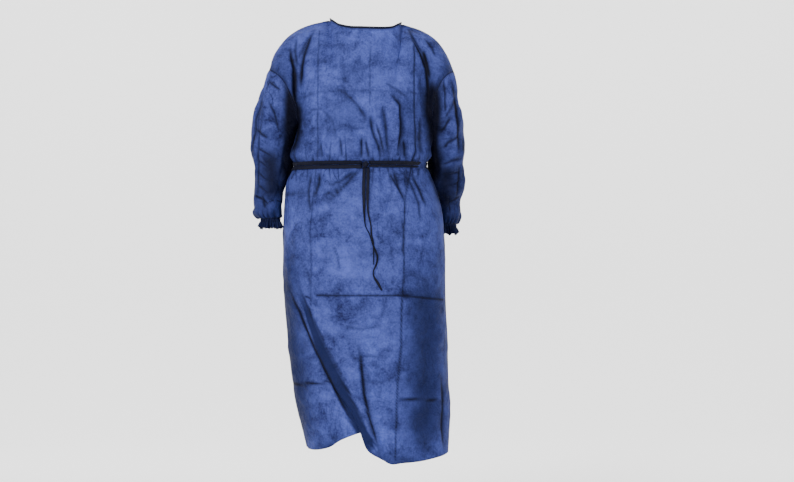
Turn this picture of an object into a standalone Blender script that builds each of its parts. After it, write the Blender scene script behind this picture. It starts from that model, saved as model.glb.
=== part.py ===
"""A sheer visitor gown as it hangs when worn, with an open back, elastic cuffs and knotted waist ties.

Metres, +Z up. The front faces -Y and the wearer's left is +X. The origin is the middle of the neck opening at
the top of the shoulders. A drop is a distance below it, so a drop of 0.37 is at Z = -0.37.
"""

import math
from collections import namedtuple

import bpy
import numpy as np

MM = 0.001

# Cloth and seams
CLOTH = 1.2 * MM  # wall of every cut panel
SEAM_GAP = 0.3 * MM  # between two pieces that are sewn together
ARMPIT_GAP = 0.8 * MM  # more room at the armpits, where the walls meet at a sharp angle
NECK_CORNER_GAP = 1.7 * MM  # and at the two corners of the neck
FULLNESS = 2.25  # exponent of the body's oval sections, 2 for an ellipse
ARC_POINTS = 181  # points on half a section, for measuring along it
SIDE_HOLD = 0.5  # how much of a fold's depth the column next to a sewn edge takes
MITRE_LEAST = 0.6  # limits how long a mitred edge gets

# The body tube from the armpits to the hem: x of both sides, and depths in front of and behind them
Section = namedtuple("Section", "name drop right left front back")
BODY = (
    Section("armpit", 0.265, -0.168, 0.168, 0.124, 0.116),
    Section("ribs", 0.300, -0.169, 0.160, 0.130, 0.116),
    Section("blouse", 0.330, -0.180, 0.154, 0.137, 0.114),
    Section("above_belt", 0.352, -0.184, 0.157, 0.135, 0.110),
    Section("belt", 0.370, -0.179, 0.155, 0.124, 0.104),
    Section("below_belt", 0.388, -0.190, 0.164, 0.130, 0.110),
    Section("upper_hip", 0.420, -0.200, 0.179, 0.140, 0.124),
    Section("hip", 0.480, -0.206, 0.195, 0.147, 0.140),
    Section("seat", 0.560, -0.208, 0.203, 0.150, 0.150),
    Section("thigh", 0.700, -0.2055, 0.205, 0.148, 0.146),
    Section("above_knee", 0.820, -0.195, 0.210, 0.147, 0.142),
    Section("knee", 0.920, -0.182, 0.2125, 0.148, 0.140),
    Section("shin", 1.020, -0.164, 0.216, 0.150, 0.140),
    Section("hem", 1.085, -0.1485, 0.212, 0.151, 0.140),
)
ARMPIT, BELT, HEM = BODY[0].drop, BODY[4].drop, BODY[-1].drop

# The shoulder seams, from the armhole up to the neck
SeamPoint = namedtuple("SeamPoint", "x drop")
RIGHT_SHOULDER = (
    SeamPoint(-0.2445, 0.124),
    SeamPoint(-0.2304, 0.087),
    SeamPoint(-0.2048, 0.046),
    SeamPoint(-0.1715, 0.0205),
    SeamPoint(-0.1350, 0.0060),
    SeamPoint(-0.0883, -0.0030),
)
LEFT_SHOULDER = (
    SeamPoint(0.2266, 0.128),
    SeamPoint(0.2099, 0.087),
    SeamPoint(0.1818, 0.047),
    SeamPoint(0.1510, 0.0256),
    SeamPoint(0.1254, 0.0154),
    SeamPoint(0.0922, 0.0070),
)
NECK_MIDDLE = (RIGHT_SHOULDER[-1].x + LEFT_SHOULDER[-1].x) / 2
NECK_HALF = (LEFT_SHOULDER[-1].x - RIGHT_SHOULDER[-1].x) / 2
SHOULDER_SHARE = 0.34  # share of a front's width that hangs from each shoulder seam
ARMHOLE_REACH = 0.12  # share of a panel's width over which its columns follow the armhole
NECK_SPREAD = (0.10, 0.22)  # shares of width from the middle, from under the neck to under the shoulders
YOKE_LEVEL, YOKE_FORWARD = 0.55, 0.30  # how much rounder the yoke is over the shoulders than below the neck

# Neckline, from shoulder to shoulder, as shares of the way across
NeckPoint = namedtuple("NeckPoint", "across drop")
FRONT_NECK = (
    NeckPoint(0.0, -0.0030),
    NeckPoint(0.12, 0.0150),
    NeckPoint(0.28, 0.0240),
    NeckPoint(0.50, 0.0265),
    NeckPoint(0.72, 0.0265),
    NeckPoint(0.88, 0.0220),
    NeckPoint(1.0, 0.0070),
)
FRONT_NECK_DEPTH = 0.078
BACK_NECK_DEPTH = 0.066
BACK_NECK_DROP = 0.024  # how far the neckline sinks at the middle of the back
NECK_FULLNESS = 0.85  # exponent that rounds the neckline

# Folded edge of the front: a deep diagonal fold from the right hip to the hem
FoldPoint = namedtuple("FoldPoint", "drop x")
DIAGONAL = (
    FoldPoint(0.560, -0.176),
    FoldPoint(0.690, -0.176),
    FoldPoint(0.760, -0.152),
    FoldPoint(0.827, -0.121),
    FoldPoint(0.899, -0.083),
    FoldPoint(0.975, -0.0445),
    FoldPoint(1.037, -0.0165),
    FoldPoint(1.090, 0.0080),
)
FOLD_STARTS, FOLD_FULL = 0.690, 0.820
DEPTH_LEADS = 1.6  # the layers part this much faster than they close, so that they never touch
# Across the fold, in millimetres: where the cloth lies unfolded, where it goes and how deep when folded, and
# how much deeper it stands half way, where the middle layer is on edge
Lay = namedtuple("Lay", "flat across depth stand")
FOLD_LAYERS = (
    Lay(-32.0, -15.0, 7.0, 0.0),
    Lay(-25.0, 0.0, 9.6, 0.5),
    Lay(-18.0, 13.0, 10.8, 2.5),
    Lay(-11.0, 25.0, 11.0, 5.0),
    Lay(-5.0, 29.5, 8.2, 6.5),
    Lay(0.0, 26.5, 5.6, 4.5),
    Lay(6.0, 13.0, 5.4, 1.0),
    Lay(12.0, 1.0, 5.0, -1.0),
    Lay(18.0, -1.9, 2.6, -2.0),
    Lay(25.0, 1.0, 0.2, -1.0),
    Lay(32.0, 12.0, 0.0, 0.0),
)
COLUMNS_RIGHT_OF_FOLD, COLUMNS_LEFT_OF_FOLD = 7, 24
COLUMNS_GATHER = (0.45, 0.68)  # drops between which the columns close up to the fold

# How far the front's hem hangs, by x where its cloth would lie with the deep fold opened out
HemPoint = namedtuple("HemPoint", "x drop")
FRONT_HEM = (
    HemPoint(-0.1485, 1.0854),
    HemPoint(-0.1230, 1.0830),
    HemPoint(-0.1020, 1.0780),
    HemPoint(-0.0650, 1.0620),
    HemPoint(-0.0450, 1.0460),
    HemPoint(-0.0300, 1.0370),
    HemPoint(0.0080, 1.0370),
    HemPoint(0.0200, 1.0480),
    HemPoint(0.0330, 1.0740),
    HemPoint(0.0435, 1.0950),
    HemPoint(0.0600, 1.1080),
    HemPoint(0.1000, 1.1085),
    HemPoint(0.1790, 1.1010),
    HemPoint(0.2120, 1.0955),
)
HEM_LIFTS_FROM = 0.88  # drop below which the rows start to follow the hem's own line

# Folds that run down a panel: x and drop at both ends, half width, and depth (a trough is negative)
Fold = namedtuple("Fold", "name x_top top x_end end half depth")
FRONT_FOLDS = (
    Fold("right_armpit", -0.176, 0.050, -0.160, 0.300, 0.015, -0.009),
    Fold("right_shoulder", -0.128, 0.030, -0.140, 0.210, 0.014, -0.006),
    Fold("right_chest_ridge", -0.146, 0.060, -0.142, 0.260, 0.013, 0.004),
    Fold("left_armpit", 0.146, 0.045, 0.158, 0.300, 0.015, -0.009),
    Fold("left_chest_ridge", 0.120, 0.060, 0.132, 0.260, 0.013, 0.004),
    Fold("chest_drape", -0.095, 0.170, 0.020, 0.330, 0.014, -0.006),
    Fold("centre_drape", 0.010, 0.220, 0.042, 0.362, 0.013, -0.007),
    Fold("left_chest_drape", 0.048, 0.180, 0.066, 0.362, 0.013, -0.007),
    Fold("left_ridge", 0.083, 0.200, 0.084, 0.360, 0.013, 0.006),
    Fold("left_pleat", 0.108, 0.200, 0.106, 0.362, 0.013, -0.008),
    Fold("side_pleat", 0.134, 0.290, 0.138, 0.362, 0.012, -0.005),
    Fold("knot_gather", -0.006, 0.290, -0.002, 0.362, 0.012, -0.006),
    Fold("right_gather", -0.048, 0.300, -0.052, 0.362, 0.012, -0.005),
    Fold("right_ridge", -0.075, 0.290, -0.080, 0.362, 0.012, 0.005),
    Fold("right_tuck", -0.104, 0.285, -0.108, 0.362, 0.013, -0.007),
    Fold("right_side_tuck", -0.142, 0.300, -0.146, 0.362, 0.012, -0.006),
    Fold("skirt_centre", 0.046, 0.376, 0.074, 0.500, 0.014, -0.008),
    Fold("skirt_left_ridge", 0.082, 0.376, 0.100, 0.470, 0.013, 0.005),
    Fold("skirt_left", 0.112, 0.376, 0.138, 0.510, 0.014, -0.008),
    Fold("skirt_left_side", 0.146, 0.376, 0.168, 0.470, 0.012, -0.005),
    Fold("knot_drape", -0.006, 0.378, -0.088, 0.490, 0.014, -0.007),
    Fold("skirt_right_ridge", -0.072, 0.378, -0.104, 0.480, 0.012, 0.004),
    Fold("skirt_right", -0.106, 0.376, -0.128, 0.500, 0.014, -0.008),
    Fold("skirt_right_side", -0.146, 0.376, -0.168, 0.480, 0.013, -0.006),
    Fold("narrow_pleat", -0.008, 0.800, 0.050, 1.090, 0.014, -0.007),
    Fold("left_fall", 0.100, 0.450, 0.086, 1.090, 0.018, 0.006),
    Fold("left_side_fall", 0.160, 0.600, 0.165, 1.090, 0.022, -0.008),
    Fold("right_side_fall", -0.150, 0.500, -0.140, 0.760, 0.024, -0.006),
)
FOLD_RUN = 0.4  # share of a fold's length over which it fades in or out
BELT_PRESS = (0.013, 0.030)  # the ties press the folds flat this near, and let them go this far off
BACK_FOLDS = (
    Fold("right_armpit", -0.170, 0.070, -0.160, 0.300, 0.015, -0.009),
    Fold("left_armpit", 0.150, 0.070, 0.158, 0.300, 0.015, -0.009),
    Fold("right_blade", -0.100, 0.150, -0.070, 0.330, 0.016, -0.006),
    Fold("left_blade", 0.100, 0.150, 0.085, 0.330, 0.016, -0.006),
    Fold("right_tuck_1", -0.140, 0.290, -0.145, 0.362, 0.015, -0.006),
    Fold("right_tuck_2", -0.098, 0.280, -0.100, 0.362, 0.015, -0.007),
    Fold("right_tuck_3", -0.050, 0.290, -0.048, 0.362, 0.015, -0.006),
    Fold("left_tuck_1", 0.135, 0.290, 0.138, 0.362, 0.015, -0.006),
    Fold("left_tuck_2", 0.100, 0.280, 0.102, 0.362, 0.015, -0.007),
    Fold("skirt_right_1", -0.145, 0.378, -0.158, 0.500, 0.015, -0.006),
    Fold("skirt_right_2", -0.100, 0.378, -0.112, 0.540, 0.015, -0.008),
    Fold("skirt_right_3", -0.052, 0.378, -0.056, 0.490, 0.015, -0.006),
    Fold("skirt_left_1", 0.140, 0.378, 0.158, 0.500, 0.015, -0.006),
    Fold("skirt_left_2", 0.102, 0.378, 0.112, 0.540, 0.015, -0.008),
    Fold("right_fall", -0.110, 0.600, -0.100, 1.090, 0.024, 0.010),
    Fold("right_hollow", -0.152, 0.640, -0.135, 1.090, 0.020, -0.008),
    Fold("left_fall", 0.115, 0.600, 0.130, 1.090, 0.024, 0.010),
    Fold("left_hollow", 0.160, 0.640, 0.172, 1.090, 0.018, -0.008),
)

# Free edges of the back panels: they overlap down to the seat and part below it
BackEdge = namedtuple("BackEdge", "drop right left")
BACK_EDGES = (
    BackEdge(0.000, 0.030, -0.030),
    BackEdge(0.370, 0.045, -0.045),
    BackEdge(0.560, 0.035, -0.030),
    BackEdge(0.760, 0.005, 0.012),
    BackEdge(0.920, -0.028, 0.052),
    BackEdge(1.090, -0.055, 0.088),
)
LAP_LIFT = 4.0 * MM  # the left back lies this far outside the right one where they overlap
LAP_RAMP = (-0.105, -0.060)  # minus x between which it rises to that
BACK_HEM_SIDE = 1.085
BACK_HEM_EDGE = {"right": 1.026, "left": 1.084}  # the hem at each panel's free edge
BACK_COLUMNS = 14

# Sleeves, ring by ring: outer and inner edge in the front view, then centre and half size front to back
Ring = namedtuple("Ring", "outer_x outer_drop inner_x inner_drop y half_depth")
RIGHT_SLEEVE = (
    Ring(-0.2445, 0.124, -0.168, 0.265, 0.000, 0.062),
    Ring(-0.2620, 0.160, -0.174, 0.277, 0.002, 0.060),
    Ring(-0.2765, 0.200, -0.181, 0.290, 0.005, 0.058),
    Ring(-0.2867, 0.240, -0.187, 0.304, 0.009, 0.055),
    Ring(-0.2920, 0.280, -0.191, 0.322, 0.012, 0.052),
    Ring(-0.2910, 0.315, -0.194, 0.343, 0.014, 0.050),
    Ring(-0.2865, 0.350, -0.198, 0.366, 0.015, 0.047),
    Ring(-0.2835, 0.385, -0.203, 0.392, 0.014, 0.044),
    Ring(-0.2825, 0.420, -0.2090, 0.420, 0.012, 0.041),
    Ring(-0.2830, 0.452, -0.2150, 0.450, 0.006, 0.038),
    Ring(-0.2800, 0.476, -0.2165, 0.474, 0.002, 0.036),
    Ring(-0.2815, 0.491, -0.2170, 0.490, 0.000, 0.034),
    Ring(-0.2660, 0.502, -0.2180, 0.502, 0.000, 0.026),
)
LEFT_SLEEVE = (
    Ring(0.2266, 0.128, 0.168, 0.265, 0.000, 0.062),
    Ring(0.2350, 0.160, 0.173, 0.278, 0.004, 0.060),
    Ring(0.2390, 0.200, 0.176, 0.292, 0.009, 0.058),
    Ring(0.2500, 0.240, 0.179, 0.308, 0.015, 0.055),
    Ring(0.2560, 0.280, 0.180, 0.328, 0.022, 0.052),
    Ring(0.2610, 0.322, 0.180, 0.352, 0.032, 0.049),
    Ring(0.2550, 0.358, 0.179, 0.377, 0.043, 0.046),
    Ring(0.2586, 0.390, 0.182, 0.400, 0.054, 0.043),
    Ring(0.2534, 0.425, 0.185, 0.430, 0.065, 0.039),
    Ring(0.2450, 0.457, 0.186, 0.457, 0.075, 0.035),
    Ring(0.2480, 0.480, 0.187, 0.480, 0.082, 0.033),
    Ring(0.2470, 0.500, 0.188, 0.498, 0.086, 0.032),
    Ring(0.2360, 0.517, 0.190, 0.517, 0.088, 0.025),
)
ARMHOLE_BOW = (0.013, 0.022)  # how far the front of the armhole seam bends in and up
ARMHOLE_BOW_ENDS = 0.35  # share of the sleeve over which it straightens
SLEEVE_ROUND = 0.30  # distance round a sleeve, for the width of its folds
SLEEVE_COLUMNS, SLEEVE_ROWS = 20, 19
YOKE_ROWS = SLEEVE_COLUMNS // 2 + 1  # rows above the armpits, one for each sleeve column it is sewn to
# Soft folds on a sleeve: along it from 0 to 1, and round it in turns (0 top, 0.25 front, 0.5 inner side)
SleeveFold = namedtuple("SleeveFold", "name start_along start_turn end_along end_turn half depth")
SLEEVE_FOLDS = (
    SleeveFold("elbow_front", 0.30, 0.02, 0.46, 0.30, 0.030, -0.006),
    SleeveFold("elbow_back", 0.34, 0.95, 0.50, 0.66, 0.030, -0.006),
    SleeveFold("lower_front", 0.52, 0.08, 0.64, 0.34, 0.028, -0.005),
    SleeveFold("lower_back", 0.60, 0.90, 0.70, 0.62, 0.028, -0.005),
    SleeveFold("front_drape", 0.08, 0.36, 0.52, 0.20, 0.026, -0.005),
    SleeveFold("wrist_front", 0.70, 0.34, 0.84, 0.06, 0.026, -0.004),
)

# Elastic cuffs: a tight gathered band and a short frill below it
CUFF_WAVES = 10
CUFF_COLUMNS = 50
CuffRow = namedtuple("CuffRow", "down grow wave")
CUFF_ROWS = (
    CuffRow(0.0000, 0.0000, 0.0006),
    CuffRow(0.0050, -0.0012, 0.0009),
    CuffRow(0.0110, 0.0000, 0.0014),
    CuffRow(0.0240, 0.0026, 0.0030),
)

# Neck binding, waist ties, their knot and its two free ends
BINDING_HEIGHT, BINDING_WALL = 6.0 * MM, 2.4 * MM
BINDING_EASING = 3  # rounds of averaging that turn its lean smoothly past the corners
TIE_WIDTH, TIE_WALL = 9.0 * MM, 1.4 * MM
TIE_LIFT = 1.8 * MM  # ties lie this far off the body's section, clear of the gathers' ridges
UPPER_TIE, LOWER_TIE = 0.3650, 0.3758
TAIL_WIDTH, TAIL_WALL = 8.5 * MM, 1.2 * MM
KNOT_SIZE = (0.017, 0.010, 0.016)
KNOT_X, KNOT_OFF = 0.004, 0.0068  # the waist knot's middle, and how far it stands off the body's section
TIE_POINTS = 46
KNOT_DENT, KNOT_DENT_HALF = 0.22, 0.13  # share of its size, and half width as a share of its length
TIE_THINS = 0.45  # left of the knot the lower tie is twisted, and shows this much narrower
TIE_THINS_OVER = 0.3  # radians round the waist over which it thins
TailPoint = namedtuple("TailPoint", "x drop off turn width")
LONG_TAIL = (  # turn is how far the tape is twisted, in degrees, and width its share of the tape's width
    TailPoint(0.0005, 0.3772, 0.0058, 0, 0.92),
    TailPoint(-0.0005, 0.4250, 0.0045, 0, 0.92),
    TailPoint(0.0002, 0.4630, 0.0045, 10, 0.85),
    TailPoint(0.0012, 0.4950, 0.0055, 30, 0.66),
    TailPoint(0.0042, 0.5230, 0.0080, 50, 0.50),
    TailPoint(0.0135, 0.5430, 0.0100, 55, 0.50),
    TailPoint(0.0228, 0.5720, 0.0105, 50, 0.74),
    TailPoint(0.0322, 0.5965, 0.0095, 40, 0.78),
    TailPoint(0.0302, 0.6170, 0.0085, 35, 0.74),
    TailPoint(0.0232, 0.6345, 0.0078, 30, 0.46),
    TailPoint(0.0248, 0.6480, 0.0062, 15, 0.50),
    TailPoint(0.0340, 0.6635, 0.0050, 0, 0.82),
    TailPoint(0.0440, 0.6820, 0.0045, 0, 0.46),
)
SHORT_TAIL = (
    TailPoint(0.0098, 0.3776, 0.0058, 0, 0.86),
    TailPoint(0.0094, 0.4250, 0.0045, 0, 0.86),
    TailPoint(0.0090, 0.4630, 0.0045, 0, 0.72),
    TailPoint(0.0108, 0.4920, 0.0045, 0, 0.50),
    TailPoint(0.0170, 0.5200, 0.0042, 0, 0.44),
    TailPoint(0.0188, 0.5440, 0.0040, 0, 0.50),
    TailPoint(0.0232, 0.5640, 0.0040, 0, 0.44),
    TailPoint(0.0236, 0.5900, 0.0040, 0, 0.30),
    TailPoint(0.0238, 0.6180, 0.0040, 0, 0.30),
)


def clear_scene():
    for thing in list(bpy.data.objects):
        bpy.data.objects.remove(thing)


def smooth(knots, values, at):
    """A smooth curve through the values at rising knots, read at one or many places."""
    knots, values = np.asarray(knots, float), np.asarray(values, float)
    at = np.clip(np.asarray(at, float), knots[0], knots[-1])
    slopes = np.gradient(values, knots)
    low = np.clip(np.searchsorted(knots, at) - 1, 0, len(knots) - 2)
    span = knots[low + 1] - knots[low]
    t = (at - knots[low]) / span
    rise, start, finish = t * t * (3 - 2 * t), t * (1 - t) ** 2, t * t * (t - 1)
    straight = values[low] * (1 - rise) + values[low + 1] * rise
    return straight + span * (start * slopes[low] + finish * slopes[low + 1])


def column_of(table, key, name, at):
    """One named column of a table, read smoothly along its key column."""
    return smooth([getattr(row, key) for row in table], [getattr(row, name) for row in table], at)


def ease(low, high, at):
    """0 below low, 1 above high, and a soft step between."""
    t = np.clip((at - low) / (high - low), 0, 1)
    return t * t * (3 - 2 * t)


def oval(angle, drop, behind):
    """A point of the body tube: angle 0 is the right side, pi the left, through the front or the back."""
    right, left = (column_of(BODY, "drop", side, drop) for side in ("right", "left"))
    depth = column_of(BODY, "drop", "back" if behind else "front", drop)
    across, out = np.cos(angle), np.abs(np.sin(angle))
    power = 2 / FULLNESS
    x = (right + left) / 2 - (left - right) / 2 * np.sign(across) * np.abs(across) ** power
    y = (1 if behind else -1) * depth * out**power
    return np.stack(np.broadcast_arrays(x, y, -np.asarray(drop, float)), axis=-1)


def outward(points, drop):
    """Level unit vectors that point out of the body tube."""
    right, left = (column_of(BODY, "drop", side, drop) for side in ("right", "left"))
    depth = np.where(points[..., 1] < 0, *(column_of(BODY, "drop", side, drop) for side in ("front", "back")))
    x = (points[..., 0] - (right + left) / 2) / ((left - right) / 2) ** 2
    out = np.stack([x, points[..., 1] / depth**2, np.zeros_like(x)], axis=-1)
    return out / np.linalg.norm(out, axis=-1, keepdims=True)


def along_section(share, drop, behind):
    """The angle at a share of a section's arc, from the right side to the left."""
    angles = np.linspace(0, math.pi, ARC_POINTS)
    line = oval(angles, np.full_like(angles, drop), behind)
    run = np.concatenate([[0], np.cumsum(np.linalg.norm(np.diff(line, axis=0), axis=1))])
    return np.interp(np.asarray(share) * run[-1], run, angles), run[-1]


def share_at_x(x, drop, behind):
    """The share of a section's arc at which it reaches that x."""
    angles = np.linspace(0, math.pi, ARC_POINTS)
    line = oval(angles, np.full_like(angles, drop), behind)
    run = np.concatenate([[0], np.cumsum(np.linalg.norm(np.diff(line, axis=0), axis=1))])
    return np.interp(x, line[:, 0], run / run[-1])


def fold_relief(points, folds):
    """How far the folds move each point out of its panel."""
    x, drop = points[..., 0], -points[..., 2]
    relief = np.zeros_like(x)
    for fold in folds:
        along = (drop - fold.top) / (fold.end - fold.top)
        middle = fold.x_top + (fold.x_end - fold.x_top) * np.clip(along, 0, 1)
        inside = np.clip(along, 0, 1)
        at_belt = BELT < fold.top < BELT + BELT_PRESS[0]
        to_belt_or_hem = BELT - BELT_PRESS[0] < fold.end < BELT or fold.end > HEM
        starts = 1.0 if at_belt else ease(0, FOLD_RUN, inside)
        ends = 1.0 if to_belt_or_hem else ease(0, FOLD_RUN, 1 - inside)
        fade = np.where((along < 0) | (along > 1), 0.0, starts * ends)
        relief += fold.depth * fade * np.exp(-(((x - middle) / fold.half) ** 2))
    return relief * ease(*BELT_PRESS, np.abs(drop - BELT))


def seam_line(shoulder, share):
    """Points of a shoulder seam at shares of its length, from the armhole to the neck."""
    knots = np.array([(p.x, 0.0, -p.drop) for p in shoulder])
    run = np.concatenate([[0], np.cumsum(np.linalg.norm(np.diff(knots, axis=0), axis=1))])
    at = np.asarray(share) * run[-1]
    return np.stack([smooth(run, knots[:, axis], at) for axis in range(3)], axis=-1)


def neck_line(across, behind):
    """Points of the neckline at shares of the way from the right shoulder to the left."""
    across = np.asarray(across, float)
    right, left = RIGHT_SHOULDER[-1], LEFT_SHOULDER[-1]
    swing = (1 - np.cos(across * math.pi)) / 2
    x = right.x + (left.x - right.x) * swing
    bulge = np.sin(across * math.pi) ** NECK_FULLNESS
    if behind:
        drop = right.drop + (left.drop - right.drop) * across + BACK_NECK_DROP * bulge
        return np.stack([x, BACK_NECK_DEPTH * bulge, -drop], axis=-1)
    drop = column_of(FRONT_NECK, "across", "drop", swing)
    return np.stack([x, -FRONT_NECK_DEPTH * bulge, -drop], axis=-1)


def armhole(rings, angle):
    """Points of an armhole seam: angle 0 is the top, pi/2 the front, pi the armpit and 3 pi/2 the back."""
    return sleeve_ring(rings[0], angle, ARMHOLE_BOW)


def sleeve_ring(ring, angle, bow=(0.0, 0.0)):
    """Points round one ring of a sleeve. bow bends its front and back in towards the body and up."""
    outer = np.array([ring.outer_x, 0.0, -ring.outer_drop])
    inner = np.array([ring.inner_x, 0.0, -ring.inner_drop])
    middle, reach = (outer + inner) / 2 + [0, ring.y, 0], (outer - inner) / 2
    angle = np.asarray(angle, float)[..., None]
    bend = np.array([-np.sign(ring.outer_x) * bow[0], 0.0, bow[1]]) * np.sin(angle) ** 2
    return middle + reach * np.cos(angle) + np.array([0, -ring.half_depth, 0]) * np.sin(angle) + bend


def yoke(top, base, edges, down, roundness):
    """One row of a panel above the armpits. down is 0 on its top line and 1 on its armpit line.

    edges holds, for each armhole, its point on this row, how strongly each column follows it, and the top and
    bottom corners of the panel there.
    """
    lean = 1 - down
    level = 1 - lean ** (1 / (1 + YOKE_LEVEL * roundness))
    forward = np.sin(down * math.pi / 2) ** (1 - YOKE_FORWARD * roundness)
    across = np.full_like(roundness, ease(0, 1, down))
    mix = np.stack([across, forward, (level + down) / 2], axis=-1)
    points = top * (1 - mix) + base * mix
    for edge, follow, corner_top, corner_base in edges:
        straight = corner_top * (1 - mix) + corner_base * mix
        points = points + (edge - straight) * follow[..., None]
    return points


def armhole_pull(from_armhole):
    """How strongly a column follows the armhole, by its share of the panel's width from there."""
    return np.exp(-((from_armhole / ARMHOLE_REACH) ** 2))


def front_columns(drop):
    """Arc shares of the front's columns at a drop when unfolded, the same folded, and each one's depth."""
    x_fold = column_of(DIAGONAL, "drop", "x", drop)
    _, arc = along_section(0.0, drop, False)
    centre = share_at_x(x_fold, drop, False)
    gather = float(ease(*COLUMNS_GATHER, drop))
    count = COLUMNS_RIGHT_OF_FOLD + len(FOLD_LAYERS) + COLUMNS_LEFT_OF_FOLD
    even = np.linspace(0, 1, count)
    flat = centre + np.array([lay.flat for lay in FOLD_LAYERS]) * MM / arc
    right_of = np.linspace(0, flat[0], COLUMNS_RIGHT_OF_FOLD + 1)[:-1]
    left_of = np.linspace(flat[-1], 1, COLUMNS_LEFT_OF_FOLD + 1)[1:]
    unfolded = even * (1 - gather) + np.concatenate([right_of, flat, left_of]) * gather
    amount = float(ease(FOLD_STARTS, FOLD_FULL, drop))
    first = COLUMNS_RIGHT_OF_FOLD
    folded, depth = unfolded.copy(), np.zeros(count)
    laid = centre + np.array([lay.across for lay in FOLD_LAYERS]) * MM / arc
    span = slice(first, first + len(FOLD_LAYERS))
    folded[span] = unfolded[span] * (1 - amount) + laid * amount
    on_edge = 4 * amount * (1 - amount)
    for column, lay in enumerate(FOLD_LAYERS, start=first):
        depth[column] = (lay.depth * min(1.0, DEPTH_LEADS * amount) + lay.stand * on_edge) * MM
    sink = np.interp(unfolded[:first], [0, unfolded[first]], [0, depth[first]])
    depth[:first] = sink
    return unfolded, folded, depth


def neck_columns(shares):
    """The columns that end at the two corners of the neck."""
    first = np.argmin(np.abs(shares - SHOULDER_SHARE))
    last = np.argmin(np.abs(shares - 1 + SHOULDER_SHARE))
    return int(first), int(last)


def front_grid():
    """The front panel's points, row by row from the shoulders to the hem."""
    rows = []
    shares, _, _ = front_columns(ARMPIT)
    base = oval(along_section(shares, ARMPIT, False)[0], np.full(len(shares), ARMPIT), False)
    top = np.empty_like(base)
    first, last = neck_columns(shares)
    top[: first + 1] = seam_line(RIGHT_SHOULDER, shares[: first + 1] / shares[first])
    top[last:] = seam_line(LEFT_SHOULDER, (1 - shares[last:]) / (1 - shares[last]))
    across = (shares[first + 1 : last] - shares[first]) / (shares[last] - shares[first])
    top[first + 1 : last] = neck_line(across, False)
    roundness = ease(*NECK_SPREAD, np.abs(shares - 0.5))
    for down in np.linspace(0, 1, YOKE_ROWS):
        edges = (
            (armhole(RIGHT_SLEEVE, down * math.pi), armhole_pull(shares), top[0], base[0]),
            (armhole(LEFT_SLEEVE, down * math.pi), armhole_pull(1 - shares), top[-1], base[-1]),
        )
        rows.append(yoke(top, base, edges, down, roundness))
    for drop in rows_below_armpit():
        unfolded, folded, depth = front_columns(drop)
        opened_x = oval(along_section(unfolded, drop, False)[0], drop, False)[:, 0]
        own_hem = column_of(FRONT_HEM, "x", "drop", opened_x)
        hang = drop + (own_hem - HEM) * ease(HEM_LIFTS_FROM, HEM, drop)
        points = oval(along_section(folded, drop, False)[0], hang, False)
        rows.append(points - outward(points, hang) * depth[:, None])
    grid = np.array(rows)
    return pushed_out(grid, fold_relief(grid, FRONT_FOLDS), 1)


def rows_below_armpit():
    """Drops of the rows from the armpits to the hem, closer together at the belt."""
    return np.concatenate([
        np.linspace(ARMPIT, 0.345, 5)[1:],
        [0.358, 0.370, 0.382, 0.397],
        np.linspace(0.420, FOLD_STARTS, 7),
        np.linspace(FOLD_STARTS, FOLD_FULL, 7)[1:],
        np.linspace(FOLD_FULL, HEM, 8)[1:],
    ])


def normals(grid, closed=False):
    """Unit normals of a grid of points. closed means that its last column runs on into its first."""
    if closed:
        along = np.roll(grid, -1, axis=1) - np.roll(grid, 1, axis=1)
    else:
        along = np.gradient(grid, axis=1)
    normal = np.cross(np.gradient(grid, axis=0), along)
    return normal / np.maximum(np.linalg.norm(normal, axis=-1, keepdims=True), 1e-12)


def pushed_out(grid, distance, facing, free_edge=False):
    """The panel moved outwards by a distance. Sewn side edges stay, and below the armpits it moves level."""
    hold = np.ones(grid.shape[1])
    hold[[0, -1]], hold[[1, -2]] = 0.0, SIDE_HOLD
    if free_edge:
        hold[[-2, -1]] = 1.0
    way = normals(grid) * facing
    way[YOKE_ROWS:] = outward(grid[YOKE_ROWS:], -grid[YOKE_ROWS:, :, 2])
    return grid + way * (distance * hold)[..., None]


def back_grid(side):
    """A back panel's points from its side seam to its free edge. side is "right" or "left"."""
    shoulder = RIGHT_SHOULDER if side == "right" else LEFT_SHOULDER
    rings = RIGHT_SLEEVE if side == "right" else LEFT_SLEEVE
    part = np.linspace(0, 1, BACK_COLUMNS)

    def shares(drop):
        edge = share_at_x(column_of(BACK_EDGES, "drop", side, drop), drop, True)
        return part * edge if side == "right" else 1 - part * (1 - edge)

    at_armpit = shares(ARMPIT)
    base = oval(along_section(at_armpit, ARMPIT, True)[0], np.full(BACK_COLUMNS, ARMPIT), True)
    from_side = at_armpit if side == "right" else 1 - at_armpit
    top = np.empty_like(base)
    corner = neck_columns(from_side)[0]
    top[: corner + 1] = seam_line(shoulder, from_side[: corner + 1] / from_side[corner])
    over = (from_side[corner + 1 :] - from_side[corner]) / (1 - 2 * from_side[corner])
    top[corner + 1 :] = neck_line(over if side == "right" else 1 - over, True)
    roundness = ease(*NECK_SPREAD, np.abs(from_side - 0.5))
    rows = []
    for down in np.linspace(0, 1, YOKE_ROWS):
        edge = armhole(rings, 2 * math.pi - down * math.pi)
        edges = ((edge, armhole_pull(from_side), top[0], base[0]),)
        rows.append(yoke(top, base, edges, down, roundness))
    for drop in rows_below_armpit():
        own_hem = BACK_HEM_SIDE + (BACK_HEM_EDGE[side] - BACK_HEM_SIDE) * part
        hang = drop + (own_hem - HEM) * ease(HEM_LIFTS_FROM, HEM, drop)
        angle, _ = along_section(shares(drop), drop, True)
        rows.append(oval(angle, hang, True))
    grid = np.array(rows)
    relief = fold_relief(grid, BACK_FOLDS)
    if side == "left":
        return pushed_out(grid, relief + lap_lift(grid[..., 0]), 1, free_edge=True)
    return pushed_out(grid, relief, -1, free_edge=True)


def lap_lift(x):
    """How far the left back stands off behind the right one, by x."""
    return LAP_LIFT * ease(*LAP_RAMP, -np.asarray(x))


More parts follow.
